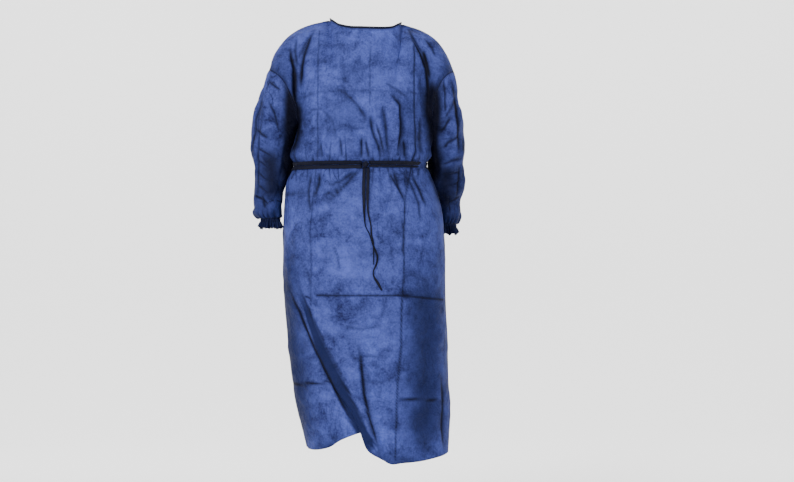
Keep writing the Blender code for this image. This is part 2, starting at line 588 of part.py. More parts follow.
def drawn_in(edge, inner, gap):
    """An edge drawn back towards the points inside it by a gap."""
    step = inner - edge
    return edge + step / np.linalg.norm(step, axis=-1, keepdims=True) * gap


def mitre(one, other):
    """Directions half way between two walls' normals, lengthened so that both walls keep their thickness."""
    middle = one + other
    middle /= np.linalg.norm(middle, axis=-1, keepdims=True)
    return middle / np.clip(np.sum(middle * one, axis=-1, keepdims=True), MITRE_LEAST, 1.0)


def sleeve_grid(rings):
    """A sleeve's points, ring by ring from the armhole to the cuff, closed round the arm."""
    turn = np.arange(SLEEVE_COLUMNS) / SLEEVE_COLUMNS
    angle = turn * 2 * math.pi
    knots = np.linspace(0, 1, len(rings))
    rows = []
    for along in np.linspace(0, 1, SLEEVE_ROWS):
        columns = ([getattr(r, name) for r in rings] for name in Ring._fields)
        ring = Ring(*(float(smooth(knots, column, along)) for column in columns))
        straight = 1 - ease(0, ARMHOLE_BOW_ENDS, along)
        rows.append(sleeve_ring(ring, angle, tuple(bow * straight for bow in ARMHOLE_BOW)))
        middle = rows[-1].mean(axis=0)
        out = (rows[-1] - middle) / np.linalg.norm(rows[-1] - middle, axis=-1, keepdims=True)
        rows[-1] += out * sleeve_relief(along, turn)[:, None]
    return np.array(rows)


def sleeve_relief(along, turn):
    """How far a sleeve's folds move each of its points out, at one place along it."""
    relief = np.zeros_like(turn)
    for fold in SLEEVE_FOLDS:
        part = (along - fold.start_along) / (fold.end_along - fold.start_along)
        if 0 < part < 1:
            middle = fold.start_turn + (fold.end_turn - fold.start_turn) * part
            apart = np.abs((turn - middle + 0.5) % 1.0 - 0.5) * SLEEVE_ROUND
            relief += fold.depth * math.sin(part * math.pi) * np.exp(-((apart / fold.half) ** 2))
    return relief


def cuff_grid(ring):
    """A cuff's points: the gathered band and its frill."""
    angle = np.arange(CUFF_COLUMNS) * 2 * math.pi / CUFF_COLUMNS
    band = sleeve_ring(ring, angle)
    middle = band.mean(axis=0)
    out = (band - middle) / np.linalg.norm(band - middle, axis=-1, keepdims=True)
    waves = np.cos(CUFF_WAVES * angle)
    rows = []
    for row in CUFF_ROWS:
        fall = np.array([0, 0, -(row.down + SEAM_GAP)])
        rows.append(band + fall + out * (row.grow + row.wave * waves)[:, None])
    return np.array(rows)


def collection_for(name):
    group = bpy.data.collections.new(name)
    bpy.context.scene.collection.children.link(group)
    return group


def finish(name, colour, roughness):
    """A plain Principled finish."""
    material = bpy.data.materials.new(name)
    material.use_nodes = True
    shader = material.node_tree.nodes["Principled BSDF"]
    shader.inputs["Base Color"].default_value = (*colour, 1.0)
    shader.inputs["Roughness"].default_value = roughness
    shader.inputs["Metallic"].default_value = 0.0
    return material


def grid_faces(rows, columns, closed=False, flip=False):
    """Triangles over a grid of points, counted row by row, with every diagonal the same way."""
    faces = []
    for row in range(rows - 1):
        for column in range(columns if closed else columns - 1):
            after = (column + 1) % columns
            near, below = row * columns + column, (row + 1) * columns + column
            across, far = row * columns + after, (row + 1) * columns + after
            faces += [[near, below, far], [near, far, across]]
    return [face[::-1] for face in faces] if flip else faces


def add_object(name, points, faces, material, group):
    mesh = bpy.data.meshes.new(name)
    mesh.from_pydata([tuple(point) for point in points], [], faces)
    mesh.materials.append(material)
    mesh.shade_smooth()
    thing = bpy.data.objects.new(name, mesh)
    group.objects.link(thing)
    return thing


def tape(name, grid, material, group, wall, offset=1.0):
    """A flat strip over a grid of points, thickened to its wall."""
    thing = add_object(name, grid.reshape(-1, 3), grid_faces(*grid.shape[:2]), material, group)
    thicken = thing.modifiers.new("tape wall", "SOLIDIFY")
    thicken.thickness = wall
    thicken.offset = offset
    return thing


def cloth_wall(name, inner, out, material, group, closed=False, wall=CLOTH):
    """A cloth wall from its inner points and the outward direction at each of them."""
    rows, columns = inner.shape[:2]
    points = np.concatenate([(inner + out * wall).reshape(-1, 3), inner.reshape(-1, 3)])
    facing_out = np.sum(normals(inner, closed) * out) > 0
    faces = grid_faces(rows, columns, closed, flip=not facing_out)
    inside = rows * columns
    faces += [[inside + corner for corner in face[::-1]] for face in faces]
    first_row = list(range(columns))
    last_row = [(rows - 1) * columns + column for column in reversed(first_row)]
    rims = [first_row, last_row]
    if not closed:
        far_side = [row * columns + columns - 1 for row in range(1, rows - 1)]
        near_side = [row * columns for row in range(rows - 2, 0, -1)]
        rims = [first_row + far_side + last_row + near_side]
    for rim in rims:
        for start, end in zip(rim, rim[1:] + rim[:1]):
            face = [start, end, end + inside, start + inside]
            faces.append(face if facing_out else face[::-1])
    return add_object(name, points, faces, material, group)


def tape_grid(path, across, width):
    """The grid of a flat tape. across holds the unit direction of its width at each point of its path."""
    half = across * (np.broadcast_to(width, len(path)) / 2)[:, None]
    return np.array([path + half, path - half])


def waist_points(turn, drop):
    """Points round the waist on the outside of the cloth. turn is in radians from the right, front first."""
    turn = np.asarray(turn) % (2 * math.pi)
    in_front = (turn <= math.pi)[:, None]
    points = np.where(in_front, oval(turn, drop, False), oval(2 * math.pi - turn, drop, True))
    over_lap = (points[:, 1] > 0) & (points[:, 0] > BACK_EDGES[1].left - TIE_WIDTH)
    lift = np.where(over_lap, lap_lift(points[:, 0]), 0.0) + CLOTH
    return points + outward(points, drop) * lift[:, None]


def turn_at_x(x):
    """The turn round the front of the waist at which it reaches that x."""
    turns = np.linspace(0, math.pi, ARC_POINTS)
    return float(np.interp(x, oval(turns, np.full(ARC_POINTS, BELT), False)[:, 0], turns))


def waist_tie(name, drop, thins, material, group):
    """A tie that runs from one side of the knot right round the waist to its other side."""
    clear = KNOT_SIZE[0] / 2 + SEAM_GAP
    turn = np.linspace(turn_at_x(KNOT_X + clear), turn_at_x(KNOT_X - clear) + 2 * math.pi, TIE_POINTS)
    left_front = ease(0.0, TIE_THINS_OVER, math.pi - turn) * thins
    width = TIE_WIDTH * (1 - TIE_THINS * left_front)
    middle = np.full(TIE_POINTS, drop) - (TIE_WIDTH - width) / 2
    edges = [waist_points(turn, middle + side * width / 2) for side in (-1, 1)]
    out = outward(edges[0], np.full(TIE_POINTS, BELT))
    return tape(name, np.array([edge + out * TIE_LIFT for edge in edges]), material, group, TIE_WALL)


def tail(name, points, face, material, group):
    """A free end of a tie: a tape that hangs and twists close to the cloth behind it."""
    at = np.linspace(0, len(points) - 1, 2 * len(points) - 1)
    order = range(len(points))
    row = {field: smooth(order, [getattr(p, field) for p in points], at) for field in TailPoint._fields}
    base, out = face(row["x"], row["drop"])
    path = base + out * row["off"][:, None]
    along = np.gradient(path, axis=0)
    side = np.cross(along, out)
    side /= np.linalg.norm(side, axis=-1, keepdims=True)
    turn = np.radians(row["turn"])[:, None]
    across = side * np.cos(turn) + out * np.sin(turn)
    return tape(name, tape_grid(path, across, TAIL_WIDTH * row["width"]), material, group, TAIL_WALL, offset=0.0)


def skirt_face(x, drop):
    """Points on the outside of the front at given places, and their outward directions."""
    angle = [
        along_section(share_at_x(at_x, at_drop, False), at_drop, False)[0]
        for at_x, at_drop in zip(x, drop)
    ]
    points = oval(np.array(angle), drop, False)
    out = outward(points, drop)
    return points + out * (fold_relief(points, FRONT_FOLDS) + CLOTH)[:, None], out


def knot(name, centre, sizes, material, group):
    """A small tied knot: a rounded lump with a dent round its middle."""
    bpy.ops.mesh.primitive_uv_sphere_add(segments=14, ring_count=9, radius=0.5)
    thing = bpy.context.object
    thing.name = thing.data.name = name
    for vertex in thing.data.vertices:
        dent = 1 - KNOT_DENT * math.exp(-((vertex.co.x / KNOT_DENT_HALF) ** 2))
        place = [co * size for co, size in zip(vertex.co, sizes)]
        vertex.co = (place[0] + centre[0], place[1] * dent + centre[1], place[2] * dent + centre[2])
    thing.data.materials.append(material)
    thing.data.shade_smooth()
    for other in list(thing.users_collection):
        other.objects.unlink(thing)
    group.objects.link(thing)
    return thing


def neck_binding(front, back_right, back_left, material, group):
    """The folded strip on the neck edge, in one piece from one back edge round the front to the other."""
    edges, ups, outs = [], [], []
    for grid, facing, step in ((back_right, -1, -1), (front, 1, 1), (back_left, 1, 1)):
        on_neck = np.abs(grid[0, :, 0] - NECK_MIDDLE) < NECK_HALF + MM
        up = grid[0, on_neck] - grid[1, on_neck]
        edges.append(grid[0, on_neck][::step])
        ups.append((up / np.linalg.norm(up, axis=-1, keepdims=True))[::step])
        outs.append((normals(grid)[0, on_neck] * facing)[::step])
    corners = (len(edges[0]) - 1, len(edges[0]) + len(edges[1]) - 2)
    for parts in (ups, outs):
        parts[1][0] = parts[0][-1] + parts[1][0]
        parts[1][-1] = parts[2][0] + parts[1][-1]
    edge, up, out = (np.concatenate([one[:-1], middle, two[1:]]) for one, middle, two in (edges, ups, outs))
    up /= np.linalg.norm(up, axis=-1, keepdims=True)
    out -= up * np.sum(out * up, axis=-1, keepdims=True)
    out /= np.linalg.norm(out, axis=-1, keepdims=True)
    lean = up.copy()
    for _ in range(BINDING_EASING):
        lean[1:-1] = (lean[:-2] + 2 * lean[1:-1] + lean[2:]) / 4
    gap = np.full((len(edge), 1), SEAM_GAP)
    gap[list(corners)] = NECK_CORNER_GAP
    low = edge + up * gap - out * (BINDING_WALL - CLOTH) / 2
    strip = np.array([low + lean * BINDING_HEIGHT, low])
    return cloth_wall("neck_binding", strip, np.array([out, out]), material, group, wall=BINDING_WALL)


def body_panel(name, grid, sleeves, facing, material, group, sewn_finish=False):
    """A front or back panel. sleeves holds each column that is sewn to a sleeve, and the sleeve's normals."""
    out = normals(grid) * facing
    yoke_edge = slice(0, YOKE_ROWS)
    for column, sleeve_out in sleeves:
        out[yoke_edge, column] = mitre(out[yoke_edge, column], sleeve_out)
    up = grid[0] - grid[1]
    up /= np.linalg.norm(up, axis=-1, keepdims=True)
    level = out[0] - up * np.sum(out[0] * up, axis=-1, keepdims=True)
    inner = grid.copy()
    inner[:, 0] = drawn_in(grid[:, 0], grid[:, 1], SEAM_GAP / 2)
    if sewn_finish:
        inner[:, -1] = drawn_in(grid[:, -1], grid[:, -2], SEAM_GAP / 2)
    inner[0] = drawn_in(inner[0], inner[1], SEAM_GAP / 2)
    on_neck = np.abs(grid[0, :, 0] - NECK_MIDDLE) < NECK_HALF + MM
    out[0, on_neck] = level[on_neck] / np.linalg.norm(level[on_neck], axis=-1, keepdims=True)
    return cloth_wall(name, inner, out, material, group)


def sleeve(name, grid, armhole_out, material, group):
    out = outward_normals(grid)
    out[0] = armhole_out
    level = out[-1] * [1, 1, 0]
    out[-1] = level / np.linalg.norm(level, axis=-1, keepdims=True)
    inner = grid.copy()
    angle = np.arange(SLEEVE_COLUMNS) * 2 * math.pi / SLEEVE_COLUMNS
    gap = SEAM_GAP / 2 + ARMPIT_GAP * ((1 - np.cos(angle)) / 2) ** 2
    inner[0] = drawn_in(grid[0], grid[1], gap[:, None])
    return cloth_wall(name, inner, out, material, group, closed=True)


def outward_normals(grid):
    """Normals of a tube of points that point away from its middle."""
    out = normals(grid, closed=True)
    away = grid - grid.mean(axis=1, keepdims=True)
    return out * np.sign(np.sum(out * away))


def build():
    clear_scene()
    group = collection_for("visitor_gown")
    cloth = finish("spunbond cloth", (0.075, 0.125, 0.42), 0.7)
    trim = finish("bound edges and ties", (0.008, 0.011, 0.045), 0.6)
    front, back_right, back_left = front_grid(), back_grid("right"), back_grid("left")
    half_round = SLEEVE_COLUMNS // 2
    backwards = [0] + list(range(SLEEVE_COLUMNS - 1, half_round - 1, -1))
    seams = {}
    for side, rings, back, facing, column in (
        ("right", RIGHT_SLEEVE, back_right, -1, 0),
        ("left", LEFT_SLEEVE, back_left, 1, -1),
    ):
        grid = sleeve_grid(rings)
        out = outward_normals(grid)[0]
        front_out, back_out = out[: half_round + 1], out[backwards]
        seams[side] = (front_out, back_out)
        shared = out.copy()
        shared[: half_round + 1] = mitre(normals(front)[:YOKE_ROWS, column], front_out)
        shared[backwards[1:-1]] = mitre(normals(back)[:YOKE_ROWS, 0] * facing, back_out)[1:-1]
        sleeve("sleeve_" + side, grid, shared, cloth, group)
        cuff = cuff_grid(rings[-1])
        cloth_wall("cuff_" + side, cuff, outward_normals(cuff), trim, group, closed=True)
    front_seams = ((0, seams["right"][0]), (-1, seams["left"][0]))
    body_panel("front_panel", front, front_seams, 1, cloth, group, sewn_finish=True)
    body_panel("back_right_panel", back_right, ((0, seams["right"][1]),), -1, cloth, group)
    body_panel("back_left_panel", back_left, ((0, seams["left"][1]),), 1, cloth, group)
    neck_binding(front, back_right, back_left, trim, group)
    waist_tie("waist_tie_upper", UPPER_TIE, 0.0, trim, group)
    waist_tie("waist_tie_lower", LOWER_TIE, 1.0, trim, group)
    face, _ = skirt_face(np.array([KNOT_X]), np.array([BELT]))
    knot("waist_knot", face[0] + [0.0, -KNOT_OFF, 0.0], KNOT_SIZE, trim, group)
    tail("tie_end_long", LONG_TAIL, skirt_face, trim, group)
    tail("tie_end_short", SHORT_TAIL, skirt_face, trim, group)


build()
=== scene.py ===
"""The looks of a sheer visitor gown, worn and seen from the front.

Each cloth piece is a thin wall on the outer face of its CAD solid, with its creases, gathers and packing folds pressed
into it. The tapes, the knot and the stitches are modelled on the same solids. Metres, +Z up, front to -Y.
"""

import logging
import math
from collections import defaultdict
from dataclasses import dataclass, field
from enum import Enum
from typing import NamedTuple

import bmesh
import bpy
import numpy as np
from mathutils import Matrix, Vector, noise


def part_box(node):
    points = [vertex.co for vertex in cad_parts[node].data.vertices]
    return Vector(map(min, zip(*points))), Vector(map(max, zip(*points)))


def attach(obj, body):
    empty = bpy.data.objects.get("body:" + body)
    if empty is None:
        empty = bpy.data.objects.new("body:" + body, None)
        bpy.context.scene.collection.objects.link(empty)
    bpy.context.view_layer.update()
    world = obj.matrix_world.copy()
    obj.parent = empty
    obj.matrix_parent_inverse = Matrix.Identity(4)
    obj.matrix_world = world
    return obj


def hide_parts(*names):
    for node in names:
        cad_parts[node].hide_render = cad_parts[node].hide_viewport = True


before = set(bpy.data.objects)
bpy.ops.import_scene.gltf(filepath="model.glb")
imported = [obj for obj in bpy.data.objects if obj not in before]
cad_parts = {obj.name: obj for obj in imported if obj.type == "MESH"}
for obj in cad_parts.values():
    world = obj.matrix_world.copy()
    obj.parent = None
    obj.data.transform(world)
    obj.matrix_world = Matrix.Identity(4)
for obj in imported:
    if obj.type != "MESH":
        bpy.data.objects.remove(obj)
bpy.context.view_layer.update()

MM = 0.001
RIM_EDGE = 0.0023  # the longest edge that crosses a cloth solid's wall
# Crease lines are painted shade; LINE_GAIN makes it darker.
LINE_GAIN = 1.35  # how much more than their own shades say crease lines darken the cloth
END_FADE = 0.28  # the share of a crease's length over which each of its ends fades out
PRESSED_FADE = 0.006  # the length over which a pressed crease does, in metres
BAND_EDGE = 0.003  # half width of the soft edge of a band of doubled cloth, in metres
log = logging.getLogger("visitor_gown")


class Side(Enum):
    """The wearer's side that a piece belongs to, with the sign of X there."""

    RIGHT = -1
    LEFT = 1


class CreaseKind(Enum):
    """How the cloth turns across a crease."""

    SOFT = "a rounded trough or ridge"
    TUCK = "one side falls steeply, as where cloth folds under"
    PRESSED = "a narrow straight crease left by the packing"
    # BAND and SHADE zones are painted shade: darker colour where layers lie behind one another and where the cloth lies
    # in shadow.
    BAND = "an even band of doubled cloth with clear edges, which widens from its start"
    SHADE = "a broad soft zone where a second layer lies behind"
    DEEP = "a soft zone in the deep shade between an arm and the body"


class Crease(NamedTuple):
    """A crease along a line of points, as seen from the front or from behind.

    The points are (x, z), and width and depth are half width and height of its form, all in millimetres. A trough's
    depth is negative. shade is how dark the painted shade along it is, from 0 to 1.
    """

    name: str
    kind: CreaseKind
    width: float
    depth: float
    shade: float
    points: tuple[tuple[float, float], ...]


SOFT, TUCK, PRESSED, BAND, SHADE, DEEP = CreaseKind

# Every crease below paints shade along its line; the DEEP, SHADE and BAND entries are broad zones of painted shade.
FRONT_CREASES = (
    Crease(
        "right_arm_shade", DEEP, 20, 0.0, 1.0,
        ((-184, -190), (-176, -250), (-172, -285), (-184, -322), (-194, -352)),
    ),
    Crease("right_pit_shade", DEEP, 6, 0.0, 0.90, ((-177, -110), (-176, -180), (-178, -240))),
    Crease("left_arm_shade", DEEP, 17, 0.0, 1.0, ((170, -140), (168, -230), (168, -300), (170, -358))),
    Crease("left_pit_shade", DEEP, 5, 0.0, 0.85, ((146, -66), (156, -110), (165, -160))),
    Crease("left_skirt_shade", DEEP, 8, 0.0, 0.40, ((168, -380), (184, -420), (196, -470))),
    Crease("belly_shade", SHADE, 50, 0.0, 0.34, ((-110, -215), (-60, -250), (-10, -310))),
    Crease("side_shade", SHADE, 34, 0.0, 0.38, ((120, -170), (118, -240), (120, -330))),
    Crease("chest_shade", SHADE, 26, 0.0, 0.26, ((-40, -100), (-35, -140), (-58, -170))),
    Crease("right_under_arm", SHADE, 20, -2.0, 0.50, ((-178, -100), (-174, -200), (-170, -300), (-172, -372))),
    Crease("left_under_arm", SHADE, 24, -2.0, 0.58, ((146, -50), (162, -110), (164, -200), (158, -300), (150, -372))),
    Crease("left_waist_shadow", SHADE, 15, -2.5, 0.40, ((118, -225), (124, -300), (122, -372))),
    Crease(
        "left_side_shade", SHADE, 58, 0.0, 0.88,
        ((160, -560), (158, -700), (156, -860), (152, -1000), (150, -1180)),
    ),
    Crease("right_side_shade", SHADE, 44, 0.0, 0.96, ((-206, -500), (-200, -740), (-176, -900), (-150, -1180))),
    Crease("hem_shade", SHADE, 34, 0.0, 0.62, ((-190, -1090), (-60, -1075), (20, -1110), (220, -1100))),
    Crease(
        "doubled_pleat", BAND, 15, 0.0, 0.95,
        ((-195, -650), (-170, -684), (-111, -822), (-72, -894), (-34, -970), (-4, -1034), (22, -1076)),
    ),
    Crease(
        "pleat_edge", SOFT, 2.6, 0.0, 0.90,
        ((-206, -655), (-182, -690), (-124, -828), (-85, -900), (-47, -976), (-18, -1038)),
    ),
    Crease(
        "pleat_inner_edge", SOFT, 2.0, 0.0, 0.45,
        ((-180, -645), (-157, -679), (-98, -817), (-59, -889), (-21, -965), (8, -1028)),
    ),
    Crease("shoulder_wrinkle_1", SOFT, 4, -2.2, 0.45, ((-128, -30), (-150, -60), (-163, -100))),
    Crease("shoulder_wrinkle_2", SOFT, 4, -2.2, 0.40, ((-172, -36), (-176, -80), (-170, -130))),
    Crease("shoulder_wrinkle_3", SOFT, 4, -2.4, 0.50, ((106, -10), (120, -34), (136, -62), (156, -96))),
    Crease("shoulder_wrinkle_4", SOFT, 4, -2.2, 0.45, ((150, -40), (172, -70), (184, -96))),
    Crease("chest_wrinkle_1", SOFT, 4, -1.8, 0.35, ((50, -164), (84, -184), (112, -206))),
    Crease("chest_wrinkle_2", SOFT, 4, -1.8, 0.30, ((-150, -250), (-128, -232), (-96, -226))),
    Crease("waist_line_1", SOFT, 3.5, -2.2, 0.50, ((28, -262), (42, -300), (52, -352))),
    Crease("waist_line_2", SOFT, 3.5, -2.2, 0.45, ((-60, -300), (-54, -356))),
    Crease("waist_line_3", SOFT, 3.5, -2.0, 0.40, ((-110, -310), (-106, -356))),
    Crease("waist_line_4", SOFT, 3.5, -2.2, 0.50, ((98, -300), (104, -356))),
    Crease("knot_fall_2", SOFT, 7, -1.5, 0.38, ((-4, -378), (-30, -404), (-66, -432), (-110, -452))),
    Crease("knot_fall_3", SOFT, 3.5, -2.0, 0.45, ((-16, -382), (-62, -414), (-96, -424))),
    Crease("left_fall_2", SOFT, 3.5, -2.2, 0.55, ((60, -379), (74, -410), (96, -448), (104, -474))),
    Crease("left_fall_3", SOFT, 3.5, -2.0, 0.45, ((94, -382), (120, -424), (138, -470), (142, -520))),
    Crease("right_fall_2", SOFT, 3.5, -2.0, 0.45, ((-130, -382), (-140, -430), (-134, -500))),
    Crease("skirt_wrinkle_1", SOFT, 3.5, -1.6, 0.40, ((92, -492), (100, -540), (96, -610))),
    Crease("skirt_wrinkle_2", SOFT, 3.5, -1.6, 0.35, ((-80, -560), (-66, -600), (-58, -640))),
    Crease("skirt_wrinkle_3", SOFT, 3.5, -1.6, 0.30, ((-160, -610), (-140, -640), (-128, -676))),
    Crease("skirt_side_shadow", SHADE, 26, -1.5, 0.30, ((168, -430), (180, -600), (178, -800), (172, -1090))),
    Crease("thigh_crinkle_1", SOFT, 4, -1.4, 0.22, ((-60, -830), (-20, -850), (60, -842))),
    Crease("thigh_crinkle_2", SOFT, 4, -1.4, 0.20, ((-70, -770), (0, -778), (70, -764))),
    Crease("thigh_crinkle_3", SOFT, 4, -1.4, 0.22, ((-20, -900), (30, -912), (78, -900))),
    Crease(
        "right_shoulder", TUCK, 6, -4.5, 0.75,
        ((-120, -13), (-138, -41), (-143, -59), (-153, -92), (-161, -123), (-163, -190)),
    ),
    Crease(
        "right_armhole", TUCK, 6, -5.0, 0.85,
        ((-190, -50), (-187, -95), (-179, -123), (-177, -148), (-174, -200), (-172, -262)),
    ),
    Crease(
        "left_shoulder", TUCK, 6, -5.0, 0.85,
        ((112, -20), (124, -52), (140, -84), (154, -125), (160, -182), (160, -262)),
    ),
    Crease("chest_drape", SOFT, 9, -4.0, 0.35, ((-90, -172), (-52, -187), (-20, -218), (3, -251), (12, -280))),
    Crease("centre_drape", TUCK, 7, -4.5, 0.55, ((14, -239), (20, -279), (26, -300), (37, -325), (45, -360))),
    Crease("left_drape", SOFT, 7, -4.0, 0.45, ((45, -210), (55, -271), (61, -328), (64, -358))),
    Crease("left_pleat", TUCK, 7, -5.0, 0.65, ((55, -184), (90, -220), (93, -261), (92, -294), (82, -358))),
    Crease("knot_gather_1", SOFT, 4, -3.0, 0.55, ((-6, -297), (-6, -358))),
    Crease("knot_gather_2", SOFT, 4, -3.0, 0.50, ((3, -305), (14, -360))),
    Crease("right_chest", SOFT, 6, -2.0, 0.25, ((-166, -202), (-115, -189))),
    Crease("right_drape", SOFT, 9, -3.0, 0.20, ((-120, -215), (-80, -260), (-66, -320))),
    Crease("side_drape", SOFT, 7, -3.5, 0.45, ((140, -240), (134, -300), (136, -355))),
    Crease("knot_fall", SOFT, 10, -3.5, 0.50, ((-10, -376), (-46, -420), (-97, -471))),
    Crease("right_fall", TUCK, 6, -4.5, 0.60, ((-110, -384), (-116, -415), (-128, -458))),
    Crease("left_fall", TUCK, 6, -4.5, 0.60, ((72, -379), (87, -430), (102, -460))),
    Crease("left_side_fall", SOFT, 6, -4.0, 0.55, ((115, -384), (141, -435), (158, -480))),
    Crease("narrow_pleat", TUCK, 7, -4.5, 0.85, ((-14, -800), (-10, -840), (0, -937), (15, -1006), (44, -1096))),
    Crease("left_edge_fall", TUCK, 6, -4.0, 0.65, ((192, -880), (197, -940), (198, -1100))),
    Crease("hip_line", SOFT, 12, -2.5, 0.15, ((-150, -560), (-60, -600), (60, -590), (170, -560))),
    Crease("thigh_line", SOFT, 14, 2.5, 0.0, ((70, -620), (62, -760), (70, -900))),
    Crease(
        "pack_right", PRESSED, 2.6, 1.3, 0.30,
        ((-115, -20), (-115, -335), (-128, -458), (-132, -538), (-131, -737)),
    ),
    Crease("pack_centre", PRESSED, 2.6, -1.2, 0.25, ((15, -56), (15, -225))),
    Crease(
        "pack_left", PRESSED, 2.8, -1.5, 0.55,
        ((125, -61), (125, -335), (102, -456), (100, -635), (94, -737), (92, -809), (82, -947), (79, -1101)),
    ),
    Crease("pack_chest", PRESSED, 2.8, 1.2, 0.22, ((-165, -190), (-60, -186), (60, -187), (160, -192))),
    Crease("pack_hip_right", PRESSED, 2.6, 1.2, 0.30, ((-202, -440), (-133, -440))),
    Crease("pack_hip", PRESSED, 2.8, 1.3, 0.30, ((-105, -445), (72, -445))),
    Crease("pack_hip_left", PRESSED, 2.6, 1.2, 0.28, ((110, -463), (160, -463))),
    Crease("pack_knee", PRESSED, 3.6, 1.4, 0.50, ((-148, -696), (-128, -704))),
    Crease("pack_knee_left", PRESSED, 3.6, 1.4, 0.60, ((-120, -694), (92, -694), (202, -709))),
    Crease("pack_shin_left", PRESSED, 3.8, 1.4, 0.62, ((82, -948), (150, -955), (205, -963))),
    Crease("pack_shin_right", PRESSED, 4.0, 1.3, 0.72, ((-182, -922), (-82, -909))),
)
BACK_CREASES = (
    Crease("right_armhole", TUCK, 6, -5.0, 0.80, ((-190, -60), (-182, -110), (-176, -160), (-172, -262))),
    Crease("left_armhole", TUCK, 6, -5.0, 0.80, ((172, -60), (166, -110), (161, -160), (160, -262))),
    Crease("right_blade", SOFT, 9, -4.0, 0.35, ((-120, -120), (-96, -200), (-74, -340))),
    Crease("left_blade", SOFT, 9, -4.0, 0.35, ((118, -120), (100, -210), (88, -340))),
    Crease("right_waist", TUCK, 6, -4.5, 0.55, ((-100, -270), (-102, -356))),
    Crease("left_waist", TUCK, 6, -4.5, 0.55, ((104, -270), (102, -356))),
    Crease("right_fall", TUCK, 6, -4.5, 0.55, ((-98, -384), (-104, -440), (-116, -520))),
    Crease("left_fall", TUCK, 6, -4.5, 0.55, ((100, -384), (108, -440), (118, -530))),
    Crease("middle_fall", SOFT, 7, -4.0, 0.45, ((-50, -384), (-56, -470))),
    Crease("right_long_fall", TUCK, 8, -4.5, 0.50, ((-118, -640), (-112, -860), (-104, -1060))),
    Crease("left_long_fall", TUCK, 8, -4.5, 0.50, ((128, -600), (138, -860), (146, -1080))),
    Crease("pack_right", PRESSED, 2.6, 1.4, 0.35, ((-118, -40), (-118, -340), (-130, -700), (-112, -1060))),
    Crease("pack_left", PRESSED, 2.8, -1.4, 0.45, ((122, -40), (122, -340), (118, -700), (110, -1080))),
    Crease("pack_blades", PRESSED, 2.8, 1.3, 0.25, ((-160, -190), (160, -194))),
    Crease("pack_hip", PRESSED, 2.8, 1.3, 0.32, ((-200, -442), (190, -446))),
    Crease("pack_knee", PRESSED, 2.8, 1.4, 0.38, ((-200, -696), (205, -700))),
    Crease("pack_shin", PRESSED, 2.8, 1.4, 0.38, ((-185, -946), (212, -955))),
)
RIGHT_SLEEVE_CREASES = (
    Crease(
        "inner_deep_shade", DEEP, 19, 0.0, 1.0,
        ((-182, -110), (-180, -200), (-186, -290), (-200, -370), (-206, -460)),
    ),
    Crease("forearm_shade", DEEP, 24, 0.0, 0.50, ((-236, -310), (-238, -380), (-232, -470))),
    Crease("inner_shadow", SHADE, 16, -1.5, 0.58, ((-186, -120), (-192, -230), (-202, -330), (-216, -440))),
    Crease("outer_line_1", SOFT, 3.0, -1.6, 0.55, ((-262, -190), (-280, -250), (-286, -330), (-284, -420))),
    Crease("outer_line_2", SOFT, 3.0, -1.4, 0.45, ((-252, -210), (-268, -280), (-272, -350), (-272, -470))),
    Crease("upper_line_1", SOFT, 3.5, -2.0, 0.55, ((-250, -150), (-226, -170), (-206, -182))),
    Crease("upper_line_2", SOFT, 3.5, -1.8, 0.45, ((-246, -196), (-228, -236), (-216, -290))),
    Crease("wrist_line_1", SOFT, 3.0, -1.8, 0.55, ((-288, -440), (-262, -452), (-240, -470))),
    Crease("wrist_line_2", SOFT, 3.0, -1.8, 0.50, ((-276, -380), (-256, -400), (-226, -410))),
    Crease("outer_fold", SOFT, 7, -3.0, 0.35, ((-258, -170), (-272, -230), (-278, -320))),
    Crease("elbow_1", TUCK, 6, -3.5, 0.55, ((-290, -274), (-270, -284), (-240, -302))),
    Crease("elbow_2", TUCK, 6, -3.5, 0.50, ((-286, -318), (-262, -330), (-222, -352))),
    Crease("elbow_3", SOFT, 6, -3.0, 0.45, ((-284, -352), (-262, -362), (-236, -384))),
    Crease("inner_fold", TUCK, 6, -3.5, 0.55, ((-200, -285), (-212, -350), (-222, -420))),
    Crease("wrist_1", SOFT, 5, -3.0, 0.45, ((-280, -412), (-258, -428), (-236, -446))),
    Crease("wrist_2", TUCK, 5, -3.0, 0.50, ((-262, -440), (-252, -480))),
    Crease("pack", PRESSED, 2.6, 1.2, 0.30, ((-280, -250), (-190, -262))),
)
